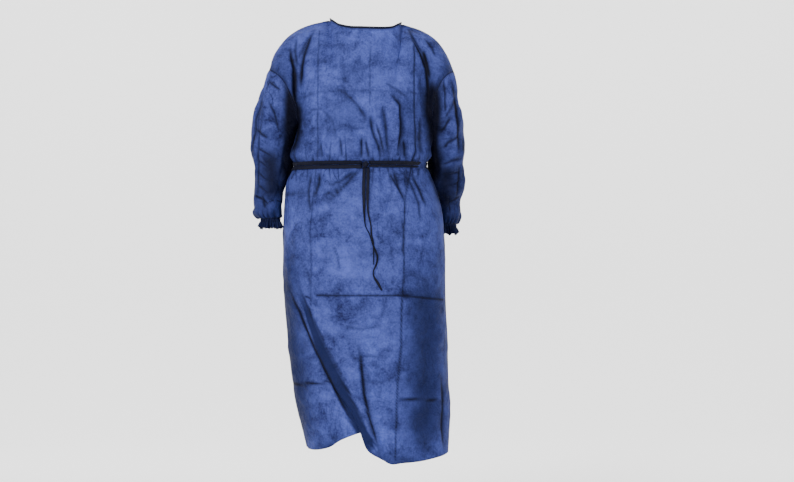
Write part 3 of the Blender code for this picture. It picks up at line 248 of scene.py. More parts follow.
LEFT_SLEEVE_CREASES = (
    Crease("inner_deep_shade", DEEP, 19, 0.0, 1.0, ((166, -110), (172, -200), (176, -300), (186, -380), (196, -460))),
    Crease("forearm_shade", DEEP, 22, 0.0, 0.50, ((206, -350), (210, -400), (208, -490))),
    Crease("inner_shadow", SHADE, 17, -1.5, 0.62, ((170, -120), (178, -230), (184, -330), (200, -440))),
    Crease("outer_line_1", SOFT, 3.0, -1.6, 0.60, ((226, -120), (240, -190), (252, -260), (258, -340), (250, -430))),
    Crease("outer_line_2", SOFT, 3.0, -1.4, 0.50, ((214, -130), (228, -200), (236, -270), (238, -330))),
    Crease("upper_line_1", SOFT, 3.5, -2.0, 0.50, ((196, -140), (206, -190), (204, -250))),
    Crease("upper_line_2", SOFT, 3.5, -1.8, 0.45, ((236, -176), (222, -220), (196, -262))),
    Crease("wrist_line_1", SOFT, 3.0, -1.8, 0.55, ((206, -470), (226, -456), (248, -440))),
    Crease("wrist_line_2", SOFT, 3.0, -1.8, 0.50, ((200, -400), (226, -388), (250, -380))),
    Crease("outer_fold", TUCK, 7, -4.0, 0.70, ((222, -160), (234, -230), (240, -300), (242, -350))),
    Crease("outer_fold_low", TUCK, 6, -3.5, 0.60, ((244, -360), (240, -410), (232, -455))),
    Crease("elbow_1", TUCK, 6, -3.5, 0.60, ((178, -289), (202, -276), (221, -241))),
    Crease("elbow_2", TUCK, 6, -3.5, 0.55, ((197, -333), (212, -311), (250, -290))),
    Crease("elbow_3", SOFT, 6, -3.0, 0.45, ((190, -372), (220, -356), (256, -348))),
    Crease("inner_fold", TUCK, 6, -4.0, 0.70, ((186, -262), (192, -330), (196, -400))),
    Crease("wrist_1", SOFT, 5, -3.0, 0.45, ((196, -430), (222, -418), (252, -405))),
    Crease("wrist_2", TUCK, 5, -3.0, 0.50, ((214, -440), (220, -490))),
    Crease("pack", PRESSED, 2.6, 1.2, 0.30, ((180, -300), (256, -300))),
)


@dataclass(frozen=True)
class Gathers:
    """Short uneven tucks where the ties draw the cloth in, above and below them.

    Attributes:
        pitch: Mean distance between two tucks, in metres.
        half: Half width of a tuck, in metres.
        depth: How deep the deepest tuck is at the ties, in metres.
        shade: How dark the painted shade in a tuck is there, from 0 to 1.
        belt: Height of the middle of the ties.
        reach: How far above and below the ties the longest tucks run, in metres.
        spread: Half of the width over which there are tucks, in metres.
        lean: How far the tucks lean to either side, at most, as a slope.
    """

    pitch: float = 0.0165
    half: float = 0.0038
    depth: float = 0.0042
    shade: float = 0.85
    belt: float = -0.3704
    reach: float = 0.085
    spread: float = 0.24
    lean: float = 0.30

    def at(self, x: np.ndarray, z: np.ndarray, seed: int) -> tuple[np.ndarray, np.ndarray]:
        """The tucks' relief and shade at points of a panel.

        Args:
            x: The points' X, in metres.
            z: Their Z, in metres.
            seed: Fixed seed that makes one panel's tucks differ from another's.

        Returns:
            How far each point moves out, in metres, and how dark its painted shade is, from 0 to 1.
        """
        chance = np.random.default_rng(seed)
        away = z - self.belt
        relief, dark = np.zeros(x.shape), np.zeros(x.shape)
        for place in np.arange(-self.spread, self.spread, self.pitch):
            place += chance.uniform(-0.45, 0.45) * self.pitch
            lean = chance.uniform(-self.lean, self.lean)
            up, down, strength = chance.uniform(0.2, 1.0, 3) ** 1.4
            length = np.where(away > 0, up, down) * self.reach
            across = (x - place - lean * np.abs(away)) / self.half
            fade = np.clip(1 - np.abs(away) / length, 0, 1) ** 0.7 * ease(0.004, 0.012, np.abs(away)) * strength
            relief -= self.depth * fade * bell(across, 1.0)
            dark = np.maximum(dark, self.shade * fade * bell(across, 0.45))
        return relief, dark


def ease(low: float, high: float, at: np.ndarray) -> np.ndarray:
    """A soft step.

    Args:
        low: Where the step starts.
        high: Where it ends.
        at: Where to read it.

    Returns:
        0 below low, 1 above high, and a smooth curve between.
    """
    t = np.clip((at - low) / (high - low), 0, 1)
    return t * t * (3 - 2 * t)


def bell(away: np.ndarray, half: float | np.ndarray) -> np.ndarray:
    """A smooth bump.

    Args:
        away: Distance from its middle.
        half: The distance at which it has fallen to about a third.

    Returns:
        1 in the middle and less to both sides.
    """
    return np.exp(-((away / half) ** 2))


def unit(vectors: np.ndarray) -> np.ndarray:
    """Vectors of length 1.

    Args:
        vectors: Vectors along the last axis.

    Returns:
        The same directions. A vector without length stays as it is.
    """
    return vectors / np.maximum(np.linalg.norm(vectors, axis=-1, keepdims=True), 1e-12)


def level_out(points: np.ndarray) -> np.ndarray:
    """Level directions away from the gown's axis.

    Args:
        points: Where to look from, in metres.

    Returns:
        A unit vector at each point.
    """
    return unit(points * [1.0, 1.0, 0.0])


def crease_form(crease: Crease, x: np.ndarray, z: np.ndarray) -> tuple[np.ndarray, np.ndarray]:
    """One crease's relief and shade at points of a panel.

    Args:
        crease: The crease.
        x: The points' X, in metres.
        z: Their Z, in metres.

    Returns:
        How far each point moves out, in metres, and how dark its painted shade is, from 0 to 1.
    """
    line = np.array(crease.points, float) * MM
    lengths = np.linalg.norm(np.diff(line, axis=0), axis=1)
    starts = np.concatenate([[0], np.cumsum(lengths)])
    nearest = np.full(x.shape, np.inf)
    across, along = np.zeros(x.shape), np.zeros(x.shape)
    for start, end, length, run in zip(line, line[1:], lengths, starts):
        way = (end - start) / length
        dx, dz = x - start[0], z - start[1]
        step = np.clip(dx * way[0] + dz * way[1], 0, length)
        off_x, off_z = dx - step * way[0], dz - step * way[1]
        distance = np.hypot(off_x, off_z)
        closer = distance < nearest
        nearest = np.where(closer, distance, nearest)
        across = np.where(closer, np.sign(dx * way[1] - dz * way[0]) * distance, across)
        along = np.where(closer, run + step, along)
    total = starts[-1]
    fade = ease(0, END_FADE * total, along) * ease(0, END_FADE * total, total - along)
    width = crease.width * MM
    form = np.zeros(x.shape)
    if crease.kind is PRESSED:
        fade = ease(0, PRESSED_FADE, along) * ease(0, PRESSED_FADE, total - along)
        form = np.clip(1 - np.abs(across) / width, 0, 1)
        dark = bell(across, 0.7 * width)
    elif crease.kind in (SHADE, DEEP):
        dark = bell(across, width)
    elif crease.kind is BAND:
        wide = width * (0.35 + 0.65 * ease(0, 0.55 * total, along))
        from_edge = np.abs(across + width - wide) - wide
        dark = 1 - ease(-BAND_EDGE, BAND_EDGE, from_edge)
        fade = ease(0, 0.22 * total, along) * ease(0, 0.004, total - along)
    elif crease.kind is TUCK:
        steep = np.where(across > 0, width * 0.45, width * 1.5)
        form = np.exp(-np.abs(across / steep) ** 1.5)
        core = np.maximum(0.42 * steep, 0.0032)
        dark = 0.65 * bell(across, core) + 0.35 * np.exp(-np.abs(across / (0.95 * steep)) ** 1.6)
    else:
        form = bell(across, width)
        core = max(0.30 * width, 0.0034)
        dark = 0.74 * bell(across, core) + 0.26 * bell(across, 0.9 * width)
    return crease.depth * MM * form * fade, crease.shade * dark * fade


@dataclass(frozen=True)
class Slack:
    """Loose cloth under the arms, which fills the room between a sleeve and the body above the ties.

    Attributes:
        right: How far it stands out on the wearer's right, in metres.
        left: How far it stands out on the wearer's left, in metres.
        starts: Heights between which it begins, from the armpit down.
        ends: Heights between which it ends, above the ties.
    """

    right: float = 0.009
    left: float = 0.012
    starts: tuple[float, float] = (-0.215, -0.290)
    ends: tuple[float, float] = (-0.362, -0.340)

    def at(self, points: np.ndarray) -> np.ndarray:
        """How each point of the body's cloth moves.

        Args:
            points: The points, in metres.

        Returns:
            Level moves away from the gown's axis, in metres.
        """
        x, z = points[..., 0], points[..., 2]
        height = ease(*self.starts, z) * ease(*self.ends, z)
        sides = self.right * ease(-0.11, -0.17, x) + self.left * ease(0.10, 0.16, x)
        return level_out(points) * (sides * height)[..., None]


def creased(creases: tuple[Crease, ...], x: np.ndarray, z: np.ndarray) -> tuple[np.ndarray, np.ndarray, np.ndarray]:
    """All creases of a piece together.

    Args:
        creases: The creases.
        x: The points' X, in metres.
        z: Their Z, in metres.

    Returns:
        How far each point moves out, in metres, how dark the painted shade of its crease lines is and how dark the
        painted shade of its broad zones is, from 0 to 1.
    """
    relief, lines, layers = np.zeros(x.shape), np.zeros(x.shape), np.zeros(x.shape)
    for crease in creases:
        form, shade = crease_form(crease, x, z)
        relief += form
        # Band and shade zones go to the painted shade of two layers; deep shade is painted into the crease lines.
        if crease.kind in (BAND, SHADE):  # Deep shade darkens like the bottom of a crease
            layers = np.maximum(layers, shade)
        else:
            lines = np.maximum(lines, shade)
    return relief, np.minimum(LINE_GAIN * lines, 1), layers


def wall_faces(node: bpy.types.Object, cross_edge: float) -> tuple[np.ndarray, list[list[tuple[int, int, int]]]]:
    """The two large faces of a packed wall, without the rim that joins them.

    Args:
        node: The CAD node. It isn't changed.
        cross_edge: The longest edge that crosses the wall, in metres.

    Returns:
        The points, and the triangles of the outer face and of the inner one.
    """
    copy = bmesh.new()
    copy.from_mesh(node.data)
    bmesh.ops.remove_doubles(copy, verts=copy.verts, dist=2e-5)
    copy.verts.index_update()
    copy.faces.index_update()
    points = np.array([vertex.co for vertex in copy.verts])
    long_faces = {face for face in copy.faces if min(edge.calc_length() for edge in face.edges) > cross_edge}
    left = [face for face in copy.faces if face not in long_faces]
    groups = []
    while long_faces:
        group, ahead = [], [long_faces.pop()]
        while ahead:
            face = ahead.pop()
            group.append(face)
            beside = {other for edge in face.edges for other in edge.link_faces} & long_faces
            long_faces -= beside
            ahead.extend(beside)
        groups.append(sorted(group, key=lambda face: face.index))
    sides = sorted(groups, key=len, reverse=True)[:2]
    owned = [{vertex for face in side for vertex in face.verts} for side in sides]
    for face in left:
        shared = [sum(vertex in own for vertex in face.verts) for own in owned]
        if max(shared) >= 2 and min(shared) == 0:
            sides[shared.index(max(shared))].append(face)
    sides.sort(key=outwardness, reverse=True)
    triangles = [[tuple(vertex.index for vertex in face.verts) for face in side] for side in sides]
    copy.free()
    return points, triangles


def outwardness(faces: list[bmesh.types.BMFace]) -> float:
    """How much a wall's face looks away from its own middle and from the gown's axis.

    Args:
        faces: The triangles of one face of the wall.

    Returns:
        A measure that is larger for the outer face than for the inner one.
    """
    places = np.array([face.calc_center_median() for face in faces])
    areas = np.array([face.calc_area() for face in faces])
    normals = np.array([face.normal for face in faces])
    middle = places.mean(axis=0)
    return float(np.sum(areas * np.sum(normals * ((places - middle) + places * [1.0, 1.0, 0.0]), axis=1)))


def neighbours(triangles: list[tuple[int, int, int]]) -> tuple[dict, dict]:
    """Which triangles each edge has, and which points each boundary point has beside it.

    Args:
        triangles: Point numbers of each triangle.

    Returns:
        The triangles of each edge, and the boundary neighbours of each boundary point.
    """
    by_edge = defaultdict(list)
    for number, triangle in enumerate(triangles):
        for a, b in zip(triangle, triangle[1:] + triangle[:1]):
            by_edge[frozenset((a, b))].append(number)
    beside = defaultdict(list)
    for edge, owners in by_edge.items():
        if len(owners) == 1:
            a, b = edge
            beside[a].append(b)
            beside[b].append(a)
    return by_edge, beside


def first_row(points: np.ndarray, triangles: list[tuple[int, int, int]], beside: dict, closed: bool) -> list[int]:
    """The point numbers of a face's top row, in the order in which the rows below it can be walked.

    Args:
        points: All points.
        triangles: The face's triangles.
        beside: Boundary neighbours of each boundary point.
        closed: Whether the face runs all round, as on a sleeve.

    Returns:
        The numbers of the row's points.
    """
    if closed:
        start = max(beside, key=lambda number: points[number, 2])
        ring = [start, beside[start][0]]
        while ring[-1] != start:
            ring.append(next(n for n in beside[ring[-1]] if n != ring[-2]))
        return ring[:-1]
    spokes = defaultdict(set)
    for triangle in triangles:
        for number in triangle:
            spokes[number].update(triangle)
    corners = {number: len(spokes[number]) - 1 for number in beside if len(spokes[number]) <= 4}
    ends = [number for number, count in corners.items() if count == 2]
    start = max(ends, key=lambda number: points[number, 2])
    paths = []
    for step in beside[start]:
        path = [start, step]
        while path[-1] not in corners:
            path.append(next(n for n in beside[path[-1]] if n != path[-2]))
        paths.append(path)
    return max(paths, key=lambda path: points[path, 2].mean())[::-1]


def grid_of(points: np.ndarray, triangles: list[tuple[int, int, int]], closed: bool = False) -> np.ndarray:
    """The rows and columns of points that a wall's face was built from.

    Args:
        points: All points.
        triangles: The face's triangles, two to each cell with the same diagonal.
        closed: Whether its rows run all round.

    Returns:
        An array of rows by columns by three, from the top row down.
    """
    by_edge, beside = neighbours(triangles)
    row = first_row(points, triangles, beside, closed)
    used: set[int] = set()

    def beyond(a: int, b: int) -> int | None:
        """The third point of the next unused triangle on an edge, which is then used, or None at a boundary."""
        free = [number for number in by_edge[frozenset((a, b))] if number not in used]
        if not free:
            return None
        used.add(free[0])
        return sum(triangles[free[0]]) - a - b

    if closed:
        tips = [beyond(a, b) for a, b in zip(row, row[1:] + row[:1])]
        used.clear()
        to_second = sum(np.linalg.norm(points[t] - points[b]) for t, b in zip(tips, row[1:] + row[:1]))
        to_first = sum(np.linalg.norm(points[t] - points[a]) for t, a in zip(tips, row))
        if to_first < to_second:
            row = row[::-1]
    rows = [row]
    while True:
        pairs = list(zip(row, row[1:] + (row[:1] if closed else [])))
        tips = [beyond(a, b) for a, b in pairs]
        if tips[0] is None:
            return points[np.array(rows)]
        first = beyond(pairs[0][0], tips[0])
        for (a, _), tip in list(zip(pairs, tips))[1:]:
            beyond(a, tip)
        row = [tips[-1]] + tips[:-1] if closed else [first] + tips
        rows.append(row)


def refined(grid: np.ndarray, times: int, axis: int, closed: bool = False) -> np.ndarray:
    """A grid with more points on smooth curves through its own.

    Args:
        grid: The grid of points or values.
        times: How many steps each of its steps becomes.
        axis: The axis along which points are added.
        closed: Whether the grid runs on from its end to its start along that axis.

    Returns:
        The finer grid.
    """
    grid = np.moveaxis(grid, axis, 0)
    count = len(grid)
    at = np.arange(count * times if closed else (count - 1) * times + 1) / times
    low = np.minimum(at.astype(int), count - 1 if closed else count - 2)
    t = (at - low).reshape(-1, *[1] * (grid.ndim - 1))
    near = [low + step for step in (-1, 0, 1, 2)]
    if closed:
        a, b, c, d = (grid[index % count] for index in near)
    else:
        b, c = grid[near[1]], grid[near[2]]
        a = np.where((near[0] < 0).reshape(t.shape), 2 * b - c, grid[np.maximum(near[0], 0)])
        d = np.where((near[3] >= count).reshape(t.shape), 2 * c - b, grid[np.minimum(near[3], count - 1)])
    curve = b + t / 2 * (c - a + t * (2 * a - 5 * b + 4 * c - d + t * (3 * (b - c) + d - a)))
    return np.moveaxis(curve, 0, axis)


def grid_normals(grid: np.ndarray, closed: bool = False) -> np.ndarray:
    """Unit normals of a grid of points.

    Args:
        grid: The points, rows by columns by three.
        closed: Whether its last column runs on into its first.

    Returns:
        The normals, in the direction of rows crossed with columns.
    """
    along = np.roll(grid, -1, axis=1) - np.roll(grid, 1, axis=1) if closed else np.gradient(grid, axis=1)
    return unit(np.cross(np.gradient(grid, axis=0), along))


def crinkle(points: np.ndarray, size: float, seed: float) -> np.ndarray:
    """Even small dents of limp cloth.

    Args:
        points: The points to read, in metres.
        size: How far apart the dents are, in metres.
        seed: A number that shifts the pattern.

    Returns:
        A value from about -1 to 1 at each point.
    """
    flat = points.reshape(-1, 3) / size + seed
    return np.array([noise.noise(Vector(point)) for point in flat]).reshape(points.shape[:-1])


def cloth_mesh(
    name: str, grid: np.ndarray, shades: dict[str, np.ndarray], closed: bool, flip: bool
) -> bpy.types.Object:
    """A sheet of cloth over a grid of points, with a map of its own and the shades that its finish reads.

    Args:
        name: The object's name.
        grid: The points, rows by columns by three.
        shades: Values from 0 to 1 at each point, such as how dark its creases are, by attribute name.
        closed: Whether the rows run all round.
        flip: Whether the faces are turned round.

    Returns:
        The new object, at the origin.
    """
    rows, columns = grid.shape[:2]
    across = np.linalg.norm(np.diff(grid, axis=1, append=grid[:, :1] if closed else grid[:, -1:]), axis=-1)
    u = np.concatenate([np.zeros((rows, 1)), np.cumsum(across, axis=1)], axis=1)
    v = np.concatenate([[0], np.cumsum(np.linalg.norm(np.diff(grid, axis=0), axis=-1).mean(axis=1))])
    faces, corners = [], []
    for row in range(rows - 1):
        here, below = row * columns, (row + 1) * columns
        for column in range(columns if closed else columns - 1):
            after = (column + 1) % columns
            face = (here + column, below + column, below + after, here + after)
            square = [(u[row, column], v[row]), (u[row + 1, column], v[row + 1])]
            square += [(u[row + 1, column + 1], v[row + 1]), (u[row, column + 1], v[row])]
            faces.append(face[::-1] if flip else face)
            corners += square[::-1] if flip else square
    mesh = bpy.data.meshes.new(name)
    mesh.from_pydata(grid.reshape(-1, 3).tolist(), [], faces)
    layer = mesh.uv_layers.new(name="cloth")
    layer.data.foreach_set("uv", np.array(corners, np.float32).ravel())
    for title, values in shades.items():
        shade = mesh.attributes.new(title, "FLOAT", "POINT")
        shade.data.foreach_set("value", np.clip(values, 0, 1).astype(np.float32).ravel())
    mesh.shade_smooth()
    return placed(name, mesh)


def placed(name: str, data: bpy.types.ID) -> bpy.types.Object:
    """Adds an object to the scene, at the origin.

    Args:
        name: Its name.
        data: Its mesh, light or camera.

    Returns:
        The object.
    """
    thing = bpy.data.objects.new(name, data)
    bpy.context.scene.collection.objects.link(thing)
    return thing


def with_allowance(
    grid: np.ndarray,
    out: np.ndarray,
    shades: dict[str, np.ndarray],
    over: float,
    under: float,
    edges: tuple[tuple[int, bool], ...] = ((0, False),),
) -> tuple[np.ndarray, dict[str, np.ndarray]]:
    """Adds a narrow seam allowance to edges of the cloth, folded in under what they are sewn to.

    Args:
        grid: The points, rows by columns by three.
        out: Outward directions there.
        shades: Values at the points, by name.
        over: How far the allowance goes on beyond the edge, in metres.
        under: How far it goes in, in metres.
        edges: Each edge's axis, 0 for rows and 1 for columns, and whether it is the last one there.

    Returns:
        The points and the values with one more row or column for each edge.
    """
    stacked = np.concatenate([grid, out, *(shade[..., None] for shade in shades.values())], axis=-1)
    for axis, last in edges:
        turned = np.swapaxes(stacked, 0, axis)
        turned = turned[::-1] if last else turned
        edge = turned[0].copy()
        edge[:, :3] += unit(turned[0, :, :3] - turned[1, :, :3]) * over - edge[:, 3:6] * under
        turned = np.concatenate([edge[None], turned])
        stacked = np.swapaxes(turned[::-1] if last else turned, 0, axis)
    return stacked[..., :3], {name: stacked[..., 6 + place] for place, name in enumerate(shades)}


def made_plain(thing: bpy.types.Object) -> bpy.types.Object:
    """Turns an object's modifiers into its mesh.

    Args:
        thing: The object.

    Returns:
        The same object, with no modifiers.
    """
    bpy.context.view_layer.update()
    graph = bpy.context.evaluated_depsgraph_get()
    mesh = bpy.data.meshes.new_from_object(thing.evaluated_get(graph), preserve_all_data_layers=True, depsgraph=graph)
    thing.modifiers.clear()
    thing.data = mesh
    return thing


def outer_grid(node: str, closed: bool = False) -> np.ndarray:
    """The points of a cloth solid's outer face.

    Args:
        node: The CAD node.
        closed: Whether its rows run all round.

    Returns:
        An array of rows by columns by three, from the top row down.
    """
    points, (triangles, _) = wall_faces(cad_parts[node], RIM_EDGE)
    return grid_of(points, triangles, closed)


def finer(grid: np.ndarray, columns: int, rows: int, closed: bool = False) -> np.ndarray:
    """A grid refined both ways.

    Args:
        grid: The points.
        columns: Steps that each of its columns becomes.
        rows: Steps that each of its rows becomes.
        closed: Whether its rows run all round.

    Returns:
        The finer grid.
    """
    return refined(refined(grid, columns, 1, closed), rows, 0)


def tied(thing: bpy.types.Object, node: str = "") -> bpy.types.Object:
    """Ties a finished piece to the frame, in place of its solid if it has one.

    Args:
        thing: The piece.
        node: The CAD node that it stands for, if any.

    Returns:
        The same object.
    """
    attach(thing, "root")
    if node:
        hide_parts(node)
    log.info("%s: %d faces", thing.name, len(thing.data.polygons))
    return thing


def dressed(thing: bpy.types.Object, finish: bpy.types.Material, node: str, wall: float) -> bpy.types.Object:
    """Gives a sheet its finish and its wall, and ties it to the frame.

    Args:
        thing: The sheet, whose faces point outwards.
        finish: Its material.
        node: The CAD node that it stands for.
        wall: Its thickness, in metres.

    Returns:
        The same object.
    """
    thing.data.materials.append(finish)
    thicken = thing.modifiers.new("cloth wall", "SOLIDIFY")
    thicken.thickness = wall
    thicken.offset = -1.0
    return tied(made_plain(thing), node)


Socket = bpy.types.NodeSocket
Colour = tuple[float, float, float]


class NodeMaker:
    """Adds nodes to one tree. What goes into an input is a value, or the output of another node."""

    def __init__(self, tree: bpy.types.NodeTree) -> None:
        """Keeps the tree that the nodes go into."""
        self.tree = tree

    def __call__(self, kind: str, settings: dict[str, str | bool], *inputs: object, **named: object) -> bpy.types.Node:
        """Adds a node.

        Args:
            kind: Its type.
            settings: Its properties, such as a Math node's operation.
            *inputs: What goes into its inputs, in their order.
            **named: What goes into its inputs by name, with underscores for spaces.

        Returns:
            The node.
        """
        node = self.tree.nodes.new(kind)
        for name, value in settings.items():
            setattr(node, name, value)
        for entry, value in [*enumerate(inputs), *named.items()]:
            socket = node.inputs[entry.replace("_", " ") if isinstance(entry, str) else entry]
            if isinstance(value, Socket):
                self.tree.links.new(value, socket)
            else:
                socket.default_value = value
        return node

    def maths(self, operation: str, *inputs: Socket | float) -> Socket:
        """Adds a Math node.

        Args:
            operation: Its operation.
            *inputs: What goes into it.

        Returns:
            Its output.
        """
        return self("ShaderNodeMath", {"operation": operation}, *inputs).outputs[0]

    def place(self) -> Socket:
        """The place on the object that is shaded.

        Returns:
            An output with the object's own coordinates, in metres.
        """
        return self("ShaderNodeTexCoord", {}).outputs["Object"]

    def cloth_map(self) -> Socket:
        """The place along and across the cloth.

        Returns:
            An output with the cloth's own map, in metres.
        """
        return self("ShaderNodeUVMap", {"uv_map": "cloth"}).outputs["UV"]

    def shade(self, name: str) -> Socket:
        """One of the shades that the meshes carry.

        Args:
            name: Its name.

        Returns:
            An output with the shade, from 0 to 1.
        """
        return self("ShaderNodeAttribute", {"attribute_name": name}).outputs["Fac"]

    def noise(self, place: Socket, **values: float) -> Socket:
        """Adds a noise texture.

        Args:
            place: Where to read it.
            **values: Its scale, detail, roughness and distortion.

        Returns:
            Its output.
        """
        return self("ShaderNodeTexNoise", {}, Vector=place, **values).outputs["Fac"]

    def ramp(self, value: Socket, low: float, high: float, start: float = 0.0, end: float = 1.0) -> Socket:
        """Maps one range of values to another.

        Args:
            value: The value.
            low: Where its range starts.
            high: Where it ends.
            start: What the output is at and beyond the start.
            end: What it is at and beyond the end.

        Returns:
            The output.
        """
        node = self("ShaderNodeMapRange", {}, Value=value, From_Min=low, From_Max=high, To_Min=start, To_Max=end)
        return node.outputs["Result"]

    def mix(self, factor: Socket, first: Socket | Colour, second: Colour) -> Socket:
        """Mixes two colours.

        Args:
            factor: The second one's share, from 0 to 1.
            first: The first colour.
            second: The second colour.

        Returns:
            The mixed colour.
        """
        start = first if isinstance(first, Socket) else (*first, 1)
        return self("ShaderNodeMix", {"data_type": "RGBA"}, Factor=factor, A=start, B=(*second, 1)).outputs["Result"]

    def bump(self, height: Socket, strength: float, depth: float, under: Socket | None = None) -> Socket:
        """Turns heights into relief.

        Args:
            height: The heights, from 0 to 1.
            strength: How strongly the relief shows.
            depth: Its depth, in metres. Below 0 it goes in and not out.
            under: The relief that it lies on, if any.

        Returns:
            The normal.
        """
        values = {"Height": height, "Strength": strength, "Distance": abs(depth)}
        if under is not None:
            values["Normal"] = under
        return self("ShaderNodeBump", {"invert": depth < 0}, **values).outputs["Normal"]


def new_material(name: str) -> tuple[bpy.types.Material, NodeMaker]:
    """A material without nodes.

    Args:
        name: Its name.

    Returns:
        The material, and what adds nodes to it.
    """
    made = bpy.data.materials.new(name)
    made.use_nodes = True
    made.node_tree.nodes.clear()
    return made, NodeMaker(made.node_tree)


@dataclass(frozen=True)
class SheerFinish:
    """Sheer spunbond cloth: a cloudy web of fine fibres with small bond points, which light passes through.

    The meshes carry three shades for it: crease, painted shade in a line where cloth turns under; doubled, painted
    shade where a second layer lies behind and where the cloth lies in shadow; and limp, how much fine crinkling there
    is.

    Attributes:
        name: The material's name.
        dense: Colour where the web is dense, and of the painted shade in its crumples and clouds.
        thin: Colour where the web is thin, and of the painted highlights on its crumples and clouds.
        layered_and_shaded: Colour of two layers, and of the painted shade where the cloth lies in shadow.
        folded: Colour of the painted shade in the bottom of a crease.
        film: Tint of what is seen through one face of the cloth.
        clear: Share of light that passes straight through one face of the wall.
        spread: Share of the rest that passes through scattered.
        clear_swing: How much less light passes where the web is dense than where it is thin.
        clear_doubled: Share of that light that still passes where crease shade and the shade of doubled cloth are
            painted.
    """

    name: str
    dense: Colour = (0.013, 0.017, 0.080)
    thin: Colour = (0.122, 0.164, 0.590)
    layered_and_shaded: Colour = (0.006, 0.011, 0.062)
    folded: Colour = (0.001, 0.0015, 0.010)
    film: Colour = (0.30, 0.40, 0.85)
    clear: float = 0.16
    spread: float = 0.26
    clear_swing: float = 0.14
    clear_doubled: float = 0.05

    def material(self) -> bpy.types.Material:
        """Builds the node tree.

        Returns:
            The material.
        """
        made, add = new_material(self.name)
        density_and_painted_light, mottle = self.web(add)
        wrinkle = self.wrinkles(add)
        doubled = add.shade("doubled")
        # Painted shade: crease and wrinkle lines darken towards the folded colour, and doubled and shaded zones towards
        # the colour of two layers.
        dark = add.maths("MAXIMUM", add.shade("crease"), wrinkle)
        colour = add.mix(dark, add.mix(doubled, add.mix(density_and_painted_light, self.thin, self.dense), self.layered_and_shaded), self.folded)
        normal = self.relief(add, mottle, wrinkle)
        body = add(
            "ShaderNodeBsdfPrincipled",
            {},
            Base_Color=colour,
            Normal=normal,
            Roughness=0.62,
            Sheen_Weight=0.01,
            Sheen_Roughness=0.4,
            Sheen_Tint=(0.60, 0.68, 1.0, 1),
            Specular_IOR_Level=0.11,
        )
        glow = add("ShaderNodeBsdfTranslucent", {}, Color=colour, Normal=normal)
        film = add("ShaderNodeBsdfTransparent", {}, Color=(*self.film, 1))
        solid = add("ShaderNodeMixShader", {}, self.spread, body.outputs[0], glow.outputs[0])
        opening = add.maths("MULTIPLY_ADD", density_and_painted_light, -self.clear_swing, self.clear + self.clear_swing / 2)
        # Less light passes through where crease and doubled shade are painted.
        closing = add.ramp(add.maths("MAXIMUM", dark, doubled), 0.0, 1.0, 1.0, self.clear_doubled)
        clear = add.maths("MULTIPLY", opening, closing)
        whole = add("ShaderNodeMixShader", {}, clear, solid.outputs[0], film.outputs[0])
        add("ShaderNodeOutputMaterial", {}, Surface=whole.outputs[0])
        return made

    def web(self, add: NodeMaker) -> tuple[Socket, Socket]:
        """The uneven web of fibres: soft clouds, crumples and a fine mottle in them.

        Args:
            add: Adds nodes to the material.

        Returns:
            How dense the web is, with painted highlights and shade of crumpled cloth in its clouds and crumples, from 0
            to 1, and the mottle on its own.
        """
        place = add.place()
        clouds = add.noise(place, Scale=12.0, Detail=4.0, Roughness=0.62, Distortion=0.6)
        crumples = add.noise(place, Scale=38.0, Detail=3.0, Roughness=0.6, Distortion=0.4)
        mottle = add.noise(place, Scale=210.0, Detail=4.0, Roughness=0.66)
        # The clouds and crumples stand partly for the web's own unevenness and partly for painted highlights and shade.
        both = add.maths("MULTIPLY_ADD", mottle, 0.6, add.maths("MULTIPLY_ADD", crumples, 0.7, clouds))
        return add.ramp(both, 0.84, 1.44), mottle

    def wrinkles(self, add: NodeMaker) -> Socket:
        """Thin dark lines where limp cloth is finely crinkled, more of them upright than level.

        Args:
            add: Adds nodes to the material.

        Returns:
            How deep each line is, which also sets how dark its painted shade is, from 0 to 1.
        """
        place = add.place()
        lean = (0.0, math.radians(12), 0.0)
        upright = add("ShaderNodeMapping", {}, Vector=place, Rotation=lean, Scale=(1.0, 1.0, 0.42)).outputs["Vector"]
        field = add.noise(upright, Scale=21.0, Detail=1.5, Roughness=0.5, Distortion=0.9)
        line = add.ramp(add.maths("ABSOLUTE", add.maths("SUBTRACT", field, 0.5)), 0.0, 0.011, 1.0, 0.0)
        patch = add.ramp(add.noise(place, Scale=8.0, Detail=2.0), 0.46, 0.62)
        # Painted shade: the lines darken the cloth's colour as well as its relief.
        return add.maths("MULTIPLY", add.maths("MULTIPLY", line, patch), add.shade("limp"))

    def relief(self, add: NodeMaker, mottle: Socket, wrinkle: Socket) -> Socket:
        """Bond points, fibres, the web's mottle, soft crumples and the fine wrinkles as one relief.

        Args:
            add: Adds nodes to the material.
            mottle: The mottle of the web.
            wrinkle: How deep each fine wrinkle is.

        Returns:
            The normal that the shaders use.
        """
        place = add.place()
        bonds = add("ShaderNodeTexVoronoi", {}, Vector=add.cloth_map(), Scale=520.0, Randomness=0.12)
        bond = add.ramp(bonds.outputs["Distance"], 0.16, 0.30, 1.0, 0.0)
        fibres = add.noise(place, Scale=1400.0, Detail=2.0, Roughness=0.6)
        crumples = add.noise(place, Scale=30.0, Detail=4.0, Roughness=0.62, Distortion=0.5)
        fine = add.bump(add.maths("MULTIPLY_ADD", bond, -0.6, fibres), 0.35, 0.0004)
        limp = add.bump(crumples, 1.0, 0.010, add.bump(mottle, 0.8, 0.0018, fine))
        return add.bump(wrinkle, 0.8, -0.0025, limp)


